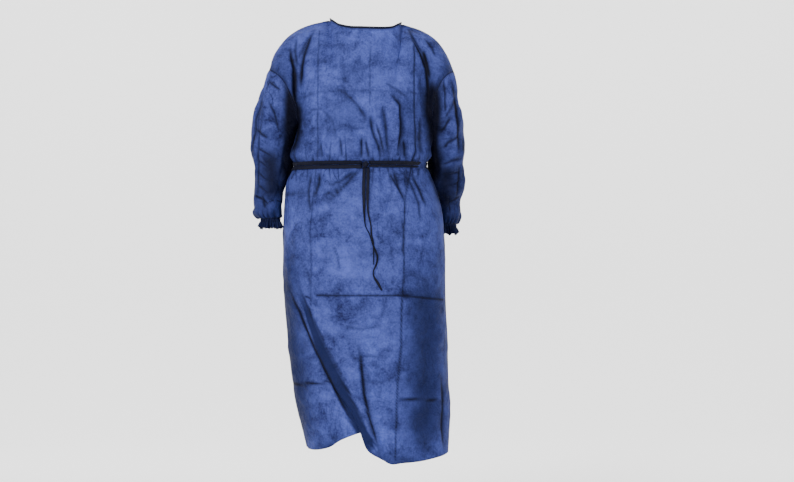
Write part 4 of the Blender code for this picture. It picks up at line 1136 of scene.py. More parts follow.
@dataclass(frozen=True)
class TapeFinish:
    """Narrow folded tape, or cloth gathered so tight that it is opaque.

    Attributes:
        name: The material's name.
        dark: Colour in the hollows of the weave, painted shade there.
        light: Colour on the threads.
        roughness: How dull it is.
        threads: Threads to a metre across the tape.
    """

    name: str
    dark: Colour = (0.0012, 0.0016, 0.007)
    light: Colour = (0.0046, 0.0062, 0.028)
    roughness: float = 0.62
    threads: float = 900.0

    def material(self) -> bpy.types.Material:
        """Builds the node tree.

        Returns:
            The material.
        """
        made, add = new_material(self.name)
        way, threads = {"bands_direction": "DIAGONAL"}, {"Scale": self.threads, "Distortion": 1.2, "Detail": 1.0}
        twill = add("ShaderNodeTexWave", way, Vector=add.cloth_map(), **threads).outputs["Fac"]
        uneven = add.noise(add.place(), Scale=140.0, Detail=3.0)
        body = add(
            "ShaderNodeBsdfPrincipled",
            {},
            Base_Color=add.mix(add.maths("MULTIPLY", twill, uneven), self.dark, self.light),
            Normal=add.bump(twill, 0.5, 0.0003),
            Roughness=self.roughness,
            Sheen_Weight=0.02,
            Sheen_Roughness=0.45,
            Specular_IOR_Level=0.13,
        )
        add("ShaderNodeOutputMaterial", {}, Surface=body.outputs[0])
        return made


@dataclass(frozen=True)
class ThreadFinish:
    """Fine sewing thread with a slight twist.

    Attributes:
        name: The material's name.
        dark: Colour between its strands, painted shade there.
        light: Colour on them.
    """

    name: str
    dark: Colour = (0.004, 0.005, 0.020)
    light: Colour = (0.013, 0.019, 0.076)

    def material(self) -> bpy.types.Material:
        """Builds the node tree.

        Returns:
            The material.
        """
        made, add = new_material(self.name)
        strands = add.noise(add.place(), Scale=2600.0, Detail=2.0)
        body = add(
            "ShaderNodeBsdfPrincipled",
            {},
            Base_Color=add.mix(strands, self.dark, self.light),
            Normal=add.bump(strands, 0.4, 0.0001),
            Roughness=0.5,
            Specular_IOR_Level=0.3,
        )
        add("ShaderNodeOutputMaterial", {}, Surface=body.outputs[0])
        return made


@dataclass
class Finishes:
    """The four materials of the gown."""

    cloth: bpy.types.Material = field(default_factory=lambda: SheerFinish("sheer spunbond").material())
    cuff: bpy.types.Material = field(
        default_factory=lambda: SheerFinish(
            "gathered spunbond", dense=(0.006, 0.008, 0.034), thin=(0.013, 0.019, 0.076), clear=0.06, spread=0.22
        ).material()
    )
    tape: bpy.types.Material = field(default_factory=lambda: TapeFinish("navy tape").material())
    thread: bpy.types.Material = field(default_factory=lambda: ThreadFinish("navy thread").material())


@dataclass(kw_only=True)
class SewnCloth:
    """Cloth that is sewn along its edges: what panels and sleeves have in common.

    Attributes:
        creases: Its creases, as seen from its own side of the gown. A sleeve's run round to the back.
        flat: Width and length of its cut, in metres. Not used.
        area: Area of its cut, in square metres. Not used.
        finer_columns: Steps that each column of the solid becomes.
        finer_rows: Steps that each row becomes.
        dents: Size and depth of its soft dents, in metres.
        wall: Thickness of the shown cloth, in metres.
        sewn_margin: Width beside a sewn edge in which the cloth is held, in metres.
        boldness: How strongly its crease shades show.
        stitch_inset: Distance from a sewn edge to its stitches, in metres.
        thread_lift: How far the thread stands off the cloth, in metres.
    """

    creases: tuple[Crease, ...]
    flat: tuple[float, float]
    area: float
    finer_columns: int = 6
    finer_rows: int = 6
    dents: tuple[tuple[float, float], ...] = ((0.110, 0.0045), (0.042, 0.0024), (0.016, 0.0008))
    wall: float = 0.0004
    sewn_margin: float = 0.012
    boldness: float = 1.7
    stitch_inset: float = 0.0026
    thread_lift: float = 0.00015

    def dented(self, relief: np.ndarray, grid: np.ndarray, seed: float) -> np.ndarray:
        """Adds the soft dents to a relief.

        Args:
            relief: How far each point moves out, in metres.
            grid: The points.
            seed: A number that shifts the dents.

        Returns:
            The relief with the dents.
        """
        for size, depth in self.dents:
            relief = relief + depth * crinkle(grid, size, seed)
        return relief

    def lines(self, dark: np.ndarray, seam: np.ndarray) -> np.ndarray:
        """The shade of creases and seams.

        Args:
            dark: How dark the creases are.
            seam: How dark the lines at the seams are.

        Returns:
            Both together, with the creases as bold as they show.
        """
        return np.maximum(1 - (1 - np.clip(dark, 0, 1)) ** self.boldness, seam)


@dataclass(kw_only=True)
class Panel(SewnCloth):
    """One of the three body panels: a thin wall with creases, gathers and small dents.

    Attributes:
        node: The CAD node that it stands for.
        seed: Fixed seed that makes its gathers and dents its own.
        free_side: Whether its last column is a free edge, and not sewn.
        gathers: The tucks that the ties draw in it.
        slack: The loose cloth under the arms.
        turns_level: Heights between which creases turn from square to the yoke to level.
        turned_away: How far from edge on the cloth is, seen from the front, where crease lines show in full.
        seam_line: Half width of the dark line at a sewn side, in metres.
        neck_line: Half width of the one along the top, in metres.
        seam_shades: How dark those two are, from 0 to 1.
        side_shade: How much painted shade darkens the cloth beside its seams, where it turns away and is doubled, from
            0 to 1.
        side_reach: How far in from the seams that reaches, in metres.
        belt_reach: How far above and below the ties the cloth is limper and carries more painted shade, in metres.
        top_reach: How far down from the top it is, in metres.
        limpness: How finely crinkled it is anywhere, and how much more at the ties and at the top.
        allowance: How far the seam allowances go on beyond the edges and in, in metres.
    """

    node: str
    seed: int
    free_side: bool = False
    gathers: Gathers = field(default_factory=Gathers)
    slack: Slack = field(default_factory=Slack)
    turns_level: tuple[float, float] = (-0.235, -0.285)
    turned_away: float = 0.16
    seam_line: float = 0.0016
    neck_line: float = 0.003
    seam_shades: tuple[float, float] = (0.85, 0.50)
    side_shade: float = 0.75
    side_reach: float = 0.040
    belt_reach: float = 0.09
    top_reach: float = 0.10
    limpness: tuple[float, float, float] = (0.34, 0.50, 0.45)
    allowance: tuple[float, float] = (0.0012, 0.0030)

    def build(self, finishes: Finishes) -> bpy.types.Object:
        """Makes the panel and ties it to the frame.

        Args:
            finishes: The materials.

        Returns:
            The finished piece.
        """
        grid = finer(outer_grid(self.node), self.finer_columns, self.finer_rows)
        out = self.outward(grid)
        from_first, to_last, from_top = self.edge_distances(grid)
        x, z = grid[..., 0], grid[..., 2]
        relief, dark = self.gathers.at(x, z, self.seed)
        form, lines, layers = creased(self.creases, x, z)
        dark = np.maximum(dark, lines * ease(0.0, self.turned_away, np.abs(out[..., 1])))
        relief = self.dented(relief + form, grid, self.seed / 10)
        free = ease(0, self.sewn_margin, from_first) * ease(0, self.sewn_margin, from_top)
        near_side = from_first
        edges = [(0, False), (1, False)]
        if not self.free_side:
            free = free * ease(0, self.sewn_margin, to_last)
            near_side = np.minimum(from_first, to_last)
            edges.append((1, True))
        grid = grid + out * (relief * free)[..., None] + self.slack.at(grid)
        side_dark, top_dark = self.seam_shades
        seam = side_dark * bell(near_side, self.seam_line) + top_dark * bell(from_top, self.neck_line)
        belt = bell(z - self.gathers.belt, self.belt_reach)
        anywhere, at_belt, at_top = self.limpness
        # Painted shade: crease lines and tucks go into crease with the dark seam lines; zones, the sides and the ties
        # go into doubled.
        shades = {
            "crease": self.lines(dark, seam),
            "doubled": np.maximum(layers, self.side_shade * np.exp(-near_side / self.side_reach) + 0.15 * belt),
            "limp": anywhere + at_belt * belt + at_top * np.exp(-from_top / self.top_reach),
        }
        self.seams = self.seam_paths(grid, out, from_first, to_last, from_top)
        facing = np.sum(grid_normals(grid) * out)
        grid, shades = with_allowance(grid, out, shades, *self.allowance, edges)
        thing = cloth_mesh(self.node + "_cloth", grid, shades, False, facing < 0)
        return dressed(thing, finishes.cloth, self.node, self.wall)

    def outward(self, grid: np.ndarray) -> np.ndarray:
        """Directions in which creases move each point: square to the yoke, and level below the armpits.

        Args:
            grid: The panel's points.

        Returns:
            A unit vector at each point.
        """
        square, level = grid_normals(grid), level_out(grid)
        square *= np.sign(np.sum(square * level))
        share = ease(*self.turns_level, grid[..., 2])[..., None]
        return unit(square * (1 - share) + level * share)

    def edge_distances(self, grid: np.ndarray) -> tuple[np.ndarray, np.ndarray, np.ndarray]:
        """How far each point lies from the panel's edges, along the cloth.

        Args:
            grid: The panel's points.

        Returns:
            Distances from the first column, to the last one and from the top row, in metres.
        """
        rows, columns = grid.shape[:2]
        run = np.linalg.norm(np.diff(grid, axis=1), axis=-1)
        from_first = np.concatenate([np.zeros((rows, 1)), np.cumsum(run, axis=1)], axis=1)
        drop = np.linalg.norm(np.diff(grid, axis=0), axis=-1)
        from_top = np.concatenate([np.zeros((1, columns)), np.cumsum(drop, axis=0)], axis=0)
        return from_first, from_first[:, -1:] - from_first, from_top

    def seam_paths(
        self, grid: np.ndarray, out: np.ndarray, from_first: np.ndarray, to_last: np.ndarray, from_top: np.ndarray
    ) -> list[np.ndarray]:
        """Lines just inside the sewn edges, on the cloth's outer face, which the stitches follow.

        Args:
            grid: The panel's points.
            out: Outward directions there.
            from_first: Distances from the first column.
            to_last: Distances to the last column.
            from_top: Distances from the top row.

        Returns:
            One line of points for each sewn edge.
        """
        raised = grid + out * self.thread_lift
        rows, columns = np.arange(grid.shape[0]), np.arange(grid.shape[1])
        lines = [raised[rows, np.argmax(from_first > self.stitch_inset, axis=1)]]
        if not self.free_side:
            lines.append(raised[rows, columns[-1] - np.argmax((to_last > self.stitch_inset)[:, ::-1], axis=1)])
        top = raised[np.argmax(from_top > self.stitch_inset, axis=0), columns]
        lines.append(top[(from_first[0] > self.stitch_inset) & (to_last[0] > self.stitch_inset)])
        return lines


@dataclass(kw_only=True)
class Sleeve(SewnCloth):
    """A sleeve: a tube of cloth with diagonal creases at the elbow and fine gathers above its cuff.

    Attributes:
        side: The wearer's side.
        slack: How far the inner side sags towards the body, in metres.
        slack_starts: Heights between which that begins, from the armpit down.
        slack_end: Height where it ends, in metres.
        slack_fade: Over what height it ends, in metres.
        shown: How far the cloth faces front or back where its creases begin to show, and where they do in full.
        gather_waves: Pleats round the wrist.
        gather_depth: Half depth of a pleat, in metres.
        gather_reach: How far above the cuff the pleats run, in metres.
        seam_line: Half width of the dark line at the armhole, in metres.
        cuff_line: Half width of the one at the cuff, in metres.
        forearm: Heights between which painted shade darkens the sleeve and it gets limper, from the elbow down.
        allowance: Width of the cloth that goes on under the body's edge, in metres.
    """

    side: Side
    finer_columns: int = 7
    finer_rows: int = 9
    dents: tuple[tuple[float, float], ...] = ((0.070, 0.0050), (0.030, 0.0028), (0.013, 0.0009))
    slack: float = 0.010
    slack_starts: tuple[float, float] = (-0.235, -0.310)
    slack_end: float = -0.435
    slack_fade: float = 0.06
    shown: tuple[float, float] = (0.15, 0.60)
    gather_waves: int = 13
    gather_depth: float = 0.0026
    gather_reach: float = 0.042
    seam_line: float = 0.0018
    cuff_line: float = 0.003
    forearm: tuple[float, float] = (-0.26, -0.42)
    allowance: float = 0.004

    def build(self, finishes: Finishes) -> bpy.types.Object:
        """Makes the sleeve and ties it to the frame.

        Args:
            finishes: The materials.

        Returns:
            The finished piece.
        """
        node, sign = "sleeve_" + self.side.name.lower(), self.side.value
        grid = outer_grid(node, closed=True)
        inner_side = int(np.argmin(grid[0, :, 0] * sign))
        grid = finer(np.roll(grid, -inner_side, axis=1), self.finer_columns, self.finer_rows, closed=True)
        out = grid_normals(grid, closed=True)
        out *= np.sign(np.sum(out * (grid - grid.mean(axis=1, keepdims=True))))
        x, z = grid[..., 0], grid[..., 2]
        run = np.cumsum(np.linalg.norm(np.diff(grid, axis=0, prepend=grid[:1]), axis=-1), axis=0)
        relief, dark, layers = creased(self.creases, x, z)
        inner = np.maximum(-out[..., 0] * sign, 0)
        shown = np.maximum(ease(*self.shown, np.abs(out[..., 1])), ease(0, 0.4, inner))
        dark, layers = dark * shown, layers * shown
        turn = np.arange(grid.shape[1]) / grid.shape[1] * 2 * math.pi
        to_wrist = run[-1] - run
        # Pleats of uneven width and depth, which twist a little towards the wrist
        pleats = np.cos(self.gather_waves * turn + 1.6 * np.sin(3 * turn) + 12 * to_wrist)
        pleats *= 0.7 + 0.3 * np.sin(5 * turn)
        near = 1 - ease(0, self.gather_reach, to_wrist)
        relief += self.gather_depth * pleats * near * ease(0, 0.006, to_wrist)
        # Painted shade in the troughs of the pleats above the cuff.
        dark = np.maximum(dark, 0.6 * near * ease(0.0, 1.0, -pleats))
        relief = self.dented(relief, grid, 3.7 * sign)
        hold = ease(0, self.sewn_margin, run) * ease(0, 0.004, to_wrist)
        sag_ends = ease(self.slack_end, self.slack_end + self.slack_fade, z)
        sag = self.slack * inner * ease(*self.slack_starts, z) * sag_ends
        grid = grid + out * (relief * hold)[..., None]
        grid[..., 0] -= sign * sag
        seam = 0.85 * bell(run, self.seam_line) + 0.7 * bell(to_wrist, self.cuff_line)
        lower = ease(*self.forearm, z)
        # Painted shade: crease lines and pleats go into crease with the dark seam lines; zones, the forearm and the
        # pleats go into doubled.
        shades = {
            "crease": self.lines(dark, seam),
            "doubled": np.maximum(layers, 0.10 + 0.55 * lower + 0.25 * near),
            "limp": 0.75 + 0.25 * lower,
        }
        raised = grid + out * self.thread_lift
        across = np.arange(grid.shape[1])
        ring = raised[np.argmax(run > self.stitch_inset, axis=0), across]
        cuff_ring = raised[grid.shape[0] - 1 - np.argmax((to_wrist > self.stitch_inset)[::-1], axis=0), across]
        self.seams = [np.concatenate([line, line[:1]]) for line in (ring, cuff_ring)]
        facing = np.sum(grid_normals(grid, closed=True) * out)
        grid, shades = with_allowance(grid, out, shades, self.allowance, 0.25 * self.allowance)
        thing = cloth_mesh(node + "_cloth", grid, shades, True, facing < 0)
        return dressed(thing, finishes.cloth, node, self.wall)


@dataclass
class Cuff:
    """An elastic cuff: a tight band of fine gathers with a short uneven frill below it.

    Attributes:
        side: The wearer's side.
        flat: Width and length of its cloth before the elastic draws it in, in metres. Not used.
        finer_columns: Steps that each column of the solid becomes.
        finer_rows: Steps that each row becomes.
        wall: Thickness of the shown cloth, in metres.
        waves: Pleats round it.
        band_depth: Half depth of a pleat under the elastic, in metres.
        frill_depth: Half depth of a pleat at the frill's edge, in metres.
        edge_rise: How far the frill's edge rises and falls, in metres.
        elastic: Where the two dark lines beside the elastic lie, from 0 at the top to 1 at the edge.
        elastic_line: Half width of such a line, on the same scale.
        allowance: Width of the cloth that goes on inside the sleeve, in metres.
    """

    side: Side
    flat: tuple[float, float] = (0.30, 0.026)
    finer_columns: int = 9
    finer_rows: int = 8
    wall: float = 0.0005
    waves: int = 24
    band_depth: float = 0.0013
    frill_depth: float = 0.0034
    edge_rise: float = 0.0026
    elastic: tuple[float, float] = (0.34, 0.56)
    elastic_line: float = 0.05
    allowance: float = 0.004

    def build(self, finishes: Finishes) -> bpy.types.Object:
        """Makes the cuff and ties it to the frame.

        Args:
            finishes: The materials.

        Returns:
            The finished piece.
        """
        node = "cuff_" + self.side.name.lower()
        grid = finer(outer_grid(node, closed=True), self.finer_columns, self.finer_rows, closed=True)
        out = unit(grid - grid.mean(axis=1, keepdims=True))
        turn = np.arange(grid.shape[1]) / grid.shape[1] * 2 * math.pi
        down = np.linspace(0, 1, grid.shape[0])[:, None]
        pleats = np.cos(self.waves * turn + 0.8 * np.sin(4 * turn) + 1.5 * down)
        depth = self.band_depth + (self.frill_depth - self.band_depth) * ease(0.4, 1.0, down)
        grid = grid + out * (depth * pleats * ease(0.0, 0.12, down))[..., None]
        uneven = np.sin(7 * turn + 0.6) + 0.6 * np.sin(12 * turn + 2.0) + 0.5 * pleats
        grid[..., 2] += self.edge_rise * uneven * ease(0.45, 1.0, down)
        band = sum(bell(down - line, self.elastic_line) for line in self.elastic)
        # Painted shade in the troughs of the pleats, less towards the frill's edge, beside dark lines at the elastic;
        # the whole cuff takes a fixed share of the colour of two layers.
        dark = np.maximum(0.8 * ease(-0.3, 1.0, -pleats) * (1 - 0.4 * down), 0.7 * band * np.ones_like(pleats))
        shades = {"crease": dark, "doubled": np.full_like(dark, 0.3), "limp": np.full_like(dark, 0.6)}
        facing = np.sum(grid_normals(grid, closed=True) * out)
        grid, shades = with_allowance(grid, out, shades, self.allowance, 0.25 * self.allowance)
        thing = cloth_mesh(node + "_gathers", grid, shades, True, facing < 0)
        return dressed(thing, finishes.cuff, node, self.wall)


@dataclass
class Tape:
    """A narrow folded tape on the line of a packed one: soft edges, and a shallow groove along its middle.

    Attributes:
        node: The CAD node that it stands for.
        cross_edge: The longest edge that crosses the solid's wall, in metres.
        finer: Steps that each point of its line becomes.
        groove: Depth of the groove, as a share of its thickness.
        section: Points round its section.
    """

    node: str
    cross_edge: float
    finer: int = 5
    groove: float = 0.22
    section: int = 14

    def build(self, finishes: Finishes) -> bpy.types.Object:
        """Makes the tape and ties it to the frame.

        Args:
            finishes: The materials.

        Returns:
            The finished piece.
        """
        rails = self.rails()
        self.path = rails.mean(axis=0)
        self.seams = [rails[:2].mean(axis=0)]
        a, b, c, d = rails
        rings = []
        for number in range(self.section):
            angle = (number + 0.5) / self.section * 2 * math.pi
            across, through = math.cos(angle), math.sin(angle)
            across = math.copysign(abs(across) ** 0.45, across)
            hollow = 1 - self.groove * math.exp(-((across / 0.35) ** 2))
            through = math.copysign(abs(through) ** 0.55, through) * hollow
            s, t = (1 + across) / 2, (1 + through) / 2
            rings.append((a * (1 - s) + b * s) * (1 - t) + (c * (1 - s) + d * s) * t)
        thing = cloth_mesh(self.node + "_tape", np.stack(rings, axis=1), {}, True, False)
        self.close_ends(thing)
        thing.data.materials.append(finishes.tape)
        return tied(thing, self.node)

    def rails(self) -> np.ndarray:
        """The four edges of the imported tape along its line.

        Returns:
            The outer face's two edges and then the inner face's, four by points by three.
        """
        points, (outer, inner) = wall_faces(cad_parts[self.node], self.cross_edge)
        faces = []
        for triangles in (outer, inner):
            grid = grid_of(points, triangles)
            if grid.shape[0] > grid.shape[1]:
                grid = np.swapaxes(grid, 0, 1)
            faces.append(grid)
        one, two = faces
        if np.linalg.norm(one[0, 0] - two[0, 0]) > np.linalg.norm(one[0, 0] - two[0, -1]):
            two = two[:, ::-1]
        if np.linalg.norm(one[0, 0] - two[0, 0]) > np.linalg.norm(one[0, 0] - two[1, 0]):
            two = two[::-1]
        return refined(np.concatenate([one, two]), self.finer, 1)

    def close_ends(self, thing: bpy.types.Object) -> None:
        """Caps both ends of the tape and turns all its faces outwards.

        Args:
            thing: The tape.
        """
        shell = bmesh.new()
        shell.from_mesh(thing.data)
        bmesh.ops.holes_fill(shell, edges=[edge for edge in shell.edges if edge.is_boundary], sides=0)
        bmesh.ops.recalc_face_normals(shell, faces=shell.faces)
        shell.to_mesh(thing.data)
        shell.free()


@dataclass
class TieEnd(Tape):
    """A free end of a waist tie, which hangs and twists in front of the skirt.

    Attributes:
        length: Its length from the knot to its tip, in metres. Not used.
        width: Width of the flat tape, in metres. Not used.
    """

    length: float = 0.30
    width: float = 0.0085

    def build(self, finishes: Finishes) -> bpy.types.Object:
        """Args:
            finishes: The materials.

        Returns:
            The finished piece.
        """
        thing = super().build(finishes)
        path = self.path if self.path[0, 2] > self.path[-1, 2] else self.path[::-1]
        steps = float(np.linalg.norm(np.diff(path, axis=0), axis=1).sum())
        log.info("%s: %.3f m long", self.node, steps)
        tuple(path[0])
        return thing


@dataclass
class Knot:
    """The knot of the waist ties: flat wraps of tape over each other on a small core.

    Attributes:
        node: The CAD node that it stands for.
        tape_width: Width of the tape in the wraps, in metres.
        tape_wall: Thickness of a wrap, in metres.
        around: Points round a wrap.
        wraps: Each wrap's tilt about Y and swing about Z in degrees, and its size beside the solid's.
        core: The core's size beside the solid's, in X, Y and Z.
        section: Points round a wrap's section: across its width, and up from its wall.
    """

    node: str = "waist_knot"
    tape_width: float = 0.0062
    tape_wall: float = 0.0011
    around: int = 48
    wraps: tuple[tuple[float, float, float], ...] = ((90.0, 6.0, 0.98), (38.0, 0.0, 0.90), (-30.0, 0.0, 0.82))
    core: tuple[float, float, float] = (0.80, 0.62, 0.72)
    section: tuple[tuple[float, float], ...] = (
        *((-0.5, 0.0), (-0.46, 0.6), (-0.2, 0.9), (0.0, 0.75)),
        *((0.2, 0.9), (0.46, 0.6), (0.5, 0.0), (0.0, -0.1)),
    )

    def build(self, finishes: Finishes) -> bpy.types.Object:
        """Makes the knot and ties it to the frame.

        Args:
            finishes: The materials.

        Returns:
            The finished piece.
        """
        low, high = (np.array(corner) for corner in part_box(self.node))
        centre, half = (low + high) / 2, (high - low) / 2
        shell = bmesh.new()
        for tilt, swing, size in self.wraps:
            self.add_wrap(shell, centre, half * size, math.radians(tilt), math.radians(swing))
        bmesh.ops.create_uvsphere(shell, u_segments=18, v_segments=12, radius=1.0)
        for vertex in shell.verts:
            if not vertex.tag:
                vertex.co = Vector(centre + np.array(vertex.co) * half * self.core)
        mesh = bpy.data.meshes.new(self.node)
        bmesh.ops.recalc_face_normals(shell, faces=shell.faces)
        shell.to_mesh(mesh)
        shell.free()
        layer = mesh.uv_layers.new(name="cloth")
        spots = np.array([mesh.vertices[loop.vertex_index].co for loop in mesh.loops])
        layer.data.foreach_set("uv", (spots[:, [0, 2]]).astype(np.float32).ravel())
        mesh.shade_smooth()
        mesh.materials.append(finishes.tape)
        return tied(placed(self.node + "_wraps", mesh), self.node)

    def add_wrap(
        self, shell: bmesh.types.BMesh, centre: np.ndarray, half: np.ndarray, tilt: float, swing: float
    ) -> None:
        """Adds one closed turn of flat tape round the core.

        Args:
            shell: The mesh to add to.
            centre: The knot's middle.
            half: Half sizes of the oval that the turn follows.
            tilt: The turn's tilt about the line of sight.
            swing: Its swing about the vertical.
        """
        rings = []
        axis = np.array([-math.sin(tilt), 0.0, math.cos(tilt)])
        turn = np.array([[math.cos(swing), -math.sin(swing), 0], [math.sin(swing), math.cos(swing), 0], [0, 0, 1]])
        side = turn @ axis
        for number in range(self.around):
            angle = number / self.around * 2 * math.pi
            out = turn @ np.array([math.cos(angle) * math.cos(tilt), math.sin(angle), math.cos(angle) * math.sin(tilt)])
            ring = []
            for across, lift in self.section:
                place = centre + out * half + side * across * self.tape_width + out * lift * self.tape_wall
                ring.append(shell.verts.new(Vector(place)))
                ring[-1].tag = True
            rings.append(ring)
        for one, two in zip(rings, rings[1:] + rings[:1]):
            for a, b, c, d in zip(one, one[1:] + one[:1], two[1:] + two[:1], two):
                shell.faces.new((a, b, c, d))


@dataclass
class Stitching:
    """Rows of short stitches along seams. One Geometry Nodes tree lays them all.

    Attributes:
        pitch: Distance from one stitch to the next, in metres.
        length: Length of a stitch, in metres.
        radius: Half thickness of the thread, in metres.
        seed: Fixed seed of the stitches' slight unevenness.
        waver: How far a stitch turns from its line to either side, at most, as a slope.
    """

    pitch: float = 0.0040
    length: float = 0.0029
    radius: float = 0.00030
    seed: int = 7
    waver: float = 0.10

    def build(self, name: str, lines: list[np.ndarray], finishes: Finishes, slot: str) -> bpy.types.Object:
        """Lays stitches along lines and ties them to the frame.

        Args:
            name: The new piece's name.
            lines: The seams' lines of points.
            finishes: The materials.
            slot: Name of a material slot for the piece. Not used.

        Returns:
            The finished piece.
        """
        points, edges = [], []
        for line in lines:
            first = len(points)
            points += [tuple(point) for point in line]
            edges += [(number, number + 1) for number in range(first, len(points) - 1)]
        mesh = bpy.data.meshes.new(name)
        mesh.from_pydata(points, edges, [])
        thing = placed(name, mesh)
        rows = thing.modifiers.new("stitch rows", "NODES")
        rows.node_group, sockets = self.tree(finishes.thread)
        for title, identifier in sockets.items():
            rows[identifier] = getattr(self, title.lower())
        return tied(made_plain(thing))

    def tree(self, thread: bpy.types.Material) -> tuple[bpy.types.NodeTree, dict[str, str]]:
        """Builds the tree: a rounded stitch at even steps along each line, turned to its direction.

        Args:
            thread: The material of the stitches.

        Returns:
            The tree, and the identifier of each named input.
        """
        tree = bpy.data.node_groups.new("stitch rows", "GeometryNodeTree")
        sockets = {}
        tree.interface.new_socket("Geometry", in_out="INPUT", socket_type="NodeSocketGeometry")
        for title, kind in (("Pitch", "Float"), ("Length", "Float"), ("Radius", "Float"), ("Seed", "Int")):
            made = tree.interface.new_socket(title, in_out="INPUT", socket_type="NodeSocket" + kind)
            sockets[title] = made.identifier
        tree.interface.new_socket("Geometry", in_out="OUTPUT", socket_type="NodeSocketGeometry")
        add = NodeMaker(tree)
        given = add("NodeGroupInput", {}).outputs
        curve = add("GeometryNodeMeshToCurve", {}, Mesh=given["Geometry"]).outputs["Curve"]
        steps = add("GeometryNodeResampleCurve", {"mode": "LENGTH"}, Curve=curve, Length=given["Pitch"])
        ball = add("GeometryNodeMeshUVSphere", {}, Segments=6, Rings=5, Radius=1.0)
        half = add.maths("MULTIPLY", given["Length"], 0.5)
        size = add("ShaderNodeCombineXYZ", {}, given["Radius"], given["Radius"], half)
        stitch = add("GeometryNodeTransform", {}, Geometry=ball.outputs["Mesh"], Scale=size.outputs["Vector"])
        smooth = add("GeometryNodeSetShadeSmooth", {}, stitch.outputs["Geometry"])
        along = add("GeometryNodeInputTangent", {}).outputs["Tangent"]
        low, high = (-self.waver,) * 3, (self.waver,) * 3
        uneven = add("FunctionNodeRandomValue", {"data_type": "FLOAT_VECTOR"}, Min=low, Max=high, Seed=given["Seed"])
        way = add("ShaderNodeVectorMath", {"operation": "ADD"}, along, uneven.outputs["Value"])
        turn = add("FunctionNodeAlignRotationToVector", {"axis": "Z"}, Vector=way.outputs["Vector"])
        laid = add(
            "GeometryNodeInstanceOnPoints",
            {},
            Points=steps.outputs["Curve"],
            Instance=smooth.outputs[0],
            Rotation=turn.outputs["Rotation"],
        )
        real = add("GeometryNodeRealizeInstances", {}, Geometry=laid.outputs["Instances"])
        coat = add("GeometryNodeSetMaterial", {}, Geometry=real.outputs["Geometry"], Material=thread)
        add("NodeGroupOutput", {}, Geometry=coat.outputs["Geometry"])
        return tree, sockets


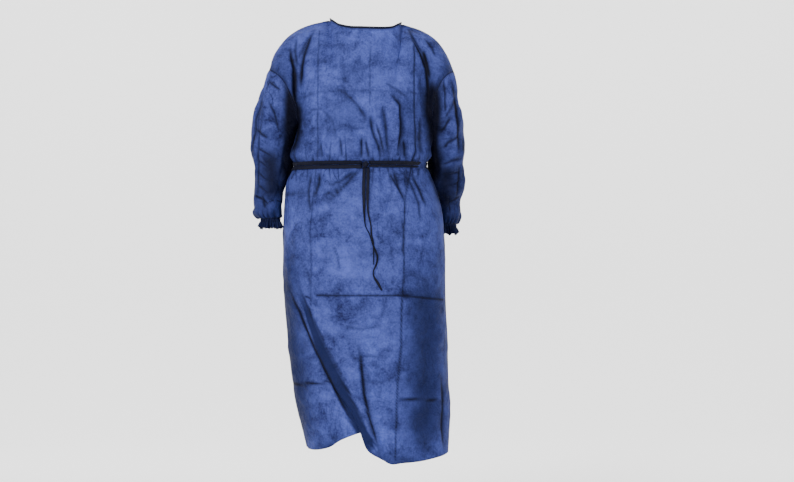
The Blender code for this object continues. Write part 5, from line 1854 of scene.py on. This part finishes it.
@dataclass
class Studio:
    """A pale floor that rises into a backdrop, soft light, and a level camera in front.

    Attributes:
        camera_x: The camera's X, in metres.
        camera_z: Its height, in metres.
        distance: How far it stands in front of the gown, in metres.
        frame_width: How wide its picture is at the gown, in metres.
        sensor: Width of its sensor, in millimetres.
        floor_z: Height of the floor, in metres.
        world: Strength of the soft light from all round.
    """

    camera_x: float = 0.082
    camera_z: float = -0.560
    distance: float = 4.0
    frame_width: float = 2.033
    sensor: float = 36.0
    floor_z: float = -1.45
    world: float = 0.75

    def build(self) -> None:
        """Makes the floor, the lights, the world and the camera."""
        self.backdrop()
        middle = Vector((0.0, 0.0, self.camera_z))
        self.light("key light", (-1.6, -3.5, 1.7), 1.3, 210.0, middle)
        self.light("fill light", (2.6, -3.2, 0.0), 2.6, 30.0, middle)
        self.light("back light", (0.0, 2.2, 1.6), 2.6, 60.0, middle)
        for side in Side:
            wall = Vector((side.value * 1.5, 5.0, 0.2))
            self.light("wall light " + side.name.lower(), (side.value * 2.6, 1.4, 1.6), 2.0, 170.0, wall)
        world = bpy.data.worlds.new("soft white room")
        world.use_nodes = True
        world.node_tree.nodes["Background"].inputs["Color"].default_value = (1.0, 1.0, 1.0, 1.0)
        world.node_tree.nodes["Background"].inputs["Strength"].default_value = self.world
        bpy.context.scene.world = world
        data = bpy.data.cameras.new("camera")
        data.sensor_width = self.sensor
        data.lens = self.sensor * self.distance / self.frame_width
        camera = placed("camera", data)
        camera.location = (self.camera_x, -self.distance, self.camera_z)
        camera.rotation_euler = (math.pi / 2, 0.0, 0.0)
        bpy.context.scene.camera = camera

    def backdrop(self) -> None:
        """Adds the floor, which curves up behind the object."""
        profile = [(-7.0, 0.0), (3.0, 0.0)]
        for step in range(1, 13):
            turn = step / 12 * math.pi / 2
            profile.append((3.0 + 2.0 * math.sin(turn), 2.0 * (1 - math.cos(turn))))
        profile.append((5.0, 7.0))
        points = [(x, y, self.floor_z + z) for y, z in profile for x in (-9.0, 9.0)]
        faces = [(2 * n, 2 * n + 1, 2 * n + 3, 2 * n + 2) for n in range(len(profile) - 1)]
        mesh = bpy.data.meshes.new("floor")
        mesh.from_pydata(points, [], faces)
        mesh.shade_smooth()
        paint = bpy.data.materials.new("pale floor")
        paint.use_nodes = True
        shader = paint.node_tree.nodes["Principled BSDF"]
        shader.inputs["Base Color"].default_value = (0.93, 0.93, 0.93, 1.0)
        shader.inputs["Roughness"].default_value = 0.9
        mesh.materials.append(paint)
        placed("floor", mesh)

    def light(self, name: str, place: tuple[float, float, float], size: float, power: float, faces: Vector) -> None:
        """Adds a square area light.

        Args:
            name: Its name.
            place: Where it stands, in metres.
            size: Its side, in metres.
            power: Its power, in watts.
            faces: The point that it faces.
        """
        data = bpy.data.lights.new(name, "AREA")
        data.size = size
        data.energy = power
        lamp = placed(name, data)
        lamp.location = place
        lamp.rotation_euler = (faces - Vector(place)).to_track_quat("-Z", "Y").to_euler()


def main() -> None:
    logging.basicConfig(level=logging.INFO, format="%(message)s")
    Studio().build()
    finishes = Finishes()
    for node, length in (("tie_end_long", 0.32), ("tie_end_short", 0.25)):
        TieEnd(node, cross_edge=0.0014, length=length).build(finishes)
    sewn = (
        Panel(node="front_panel", creases=FRONT_CREASES, flat=(0.64, 1.12), area=0.62, finer_columns=5, seed=13),
        Panel(node="back_right_panel", creases=BACK_CREASES, flat=(0.33, 1.10), area=0.31, seed=41, free_side=True),
        Panel(node="back_left_panel", creases=BACK_CREASES, flat=(0.33, 1.12), area=0.31, seed=79, free_side=True),
        Sleeve(side=Side.RIGHT, creases=RIGHT_SLEEVE_CREASES, flat=(0.32, 0.38), area=0.11),
        Sleeve(
            side=Side.LEFT, creases=LEFT_SLEEVE_CREASES, flat=(0.32, 0.38), area=0.10, slack=0.019, slack_end=-0.462
        ),
    )
    pieces = [part.build(finishes) for part in sewn]
    cuffs = [Cuff(side) for side in Side]
    cuff_pieces = [cuff.build(finishes) for cuff in cuffs]
    binding = Tape("neck_binding", cross_edge=0.0032, groove=0.1)
    binding.build(finishes)
    for node in ("waist_tie_upper", "waist_tie_lower"):
        Tape(node, cross_edge=0.0016).build(finishes)
    Knot().build(finishes)
    stitching = Stitching()
    for part, piece in zip(sewn, pieces):
        stitching.build(piece.name.replace("_cloth", "_stitches"), part.seams, finishes, "cloth")
    stitching.build("neck_binding_stitches", binding.seams, finishes, "binding_and_ties")


if __name__ == "__main__":
    main()
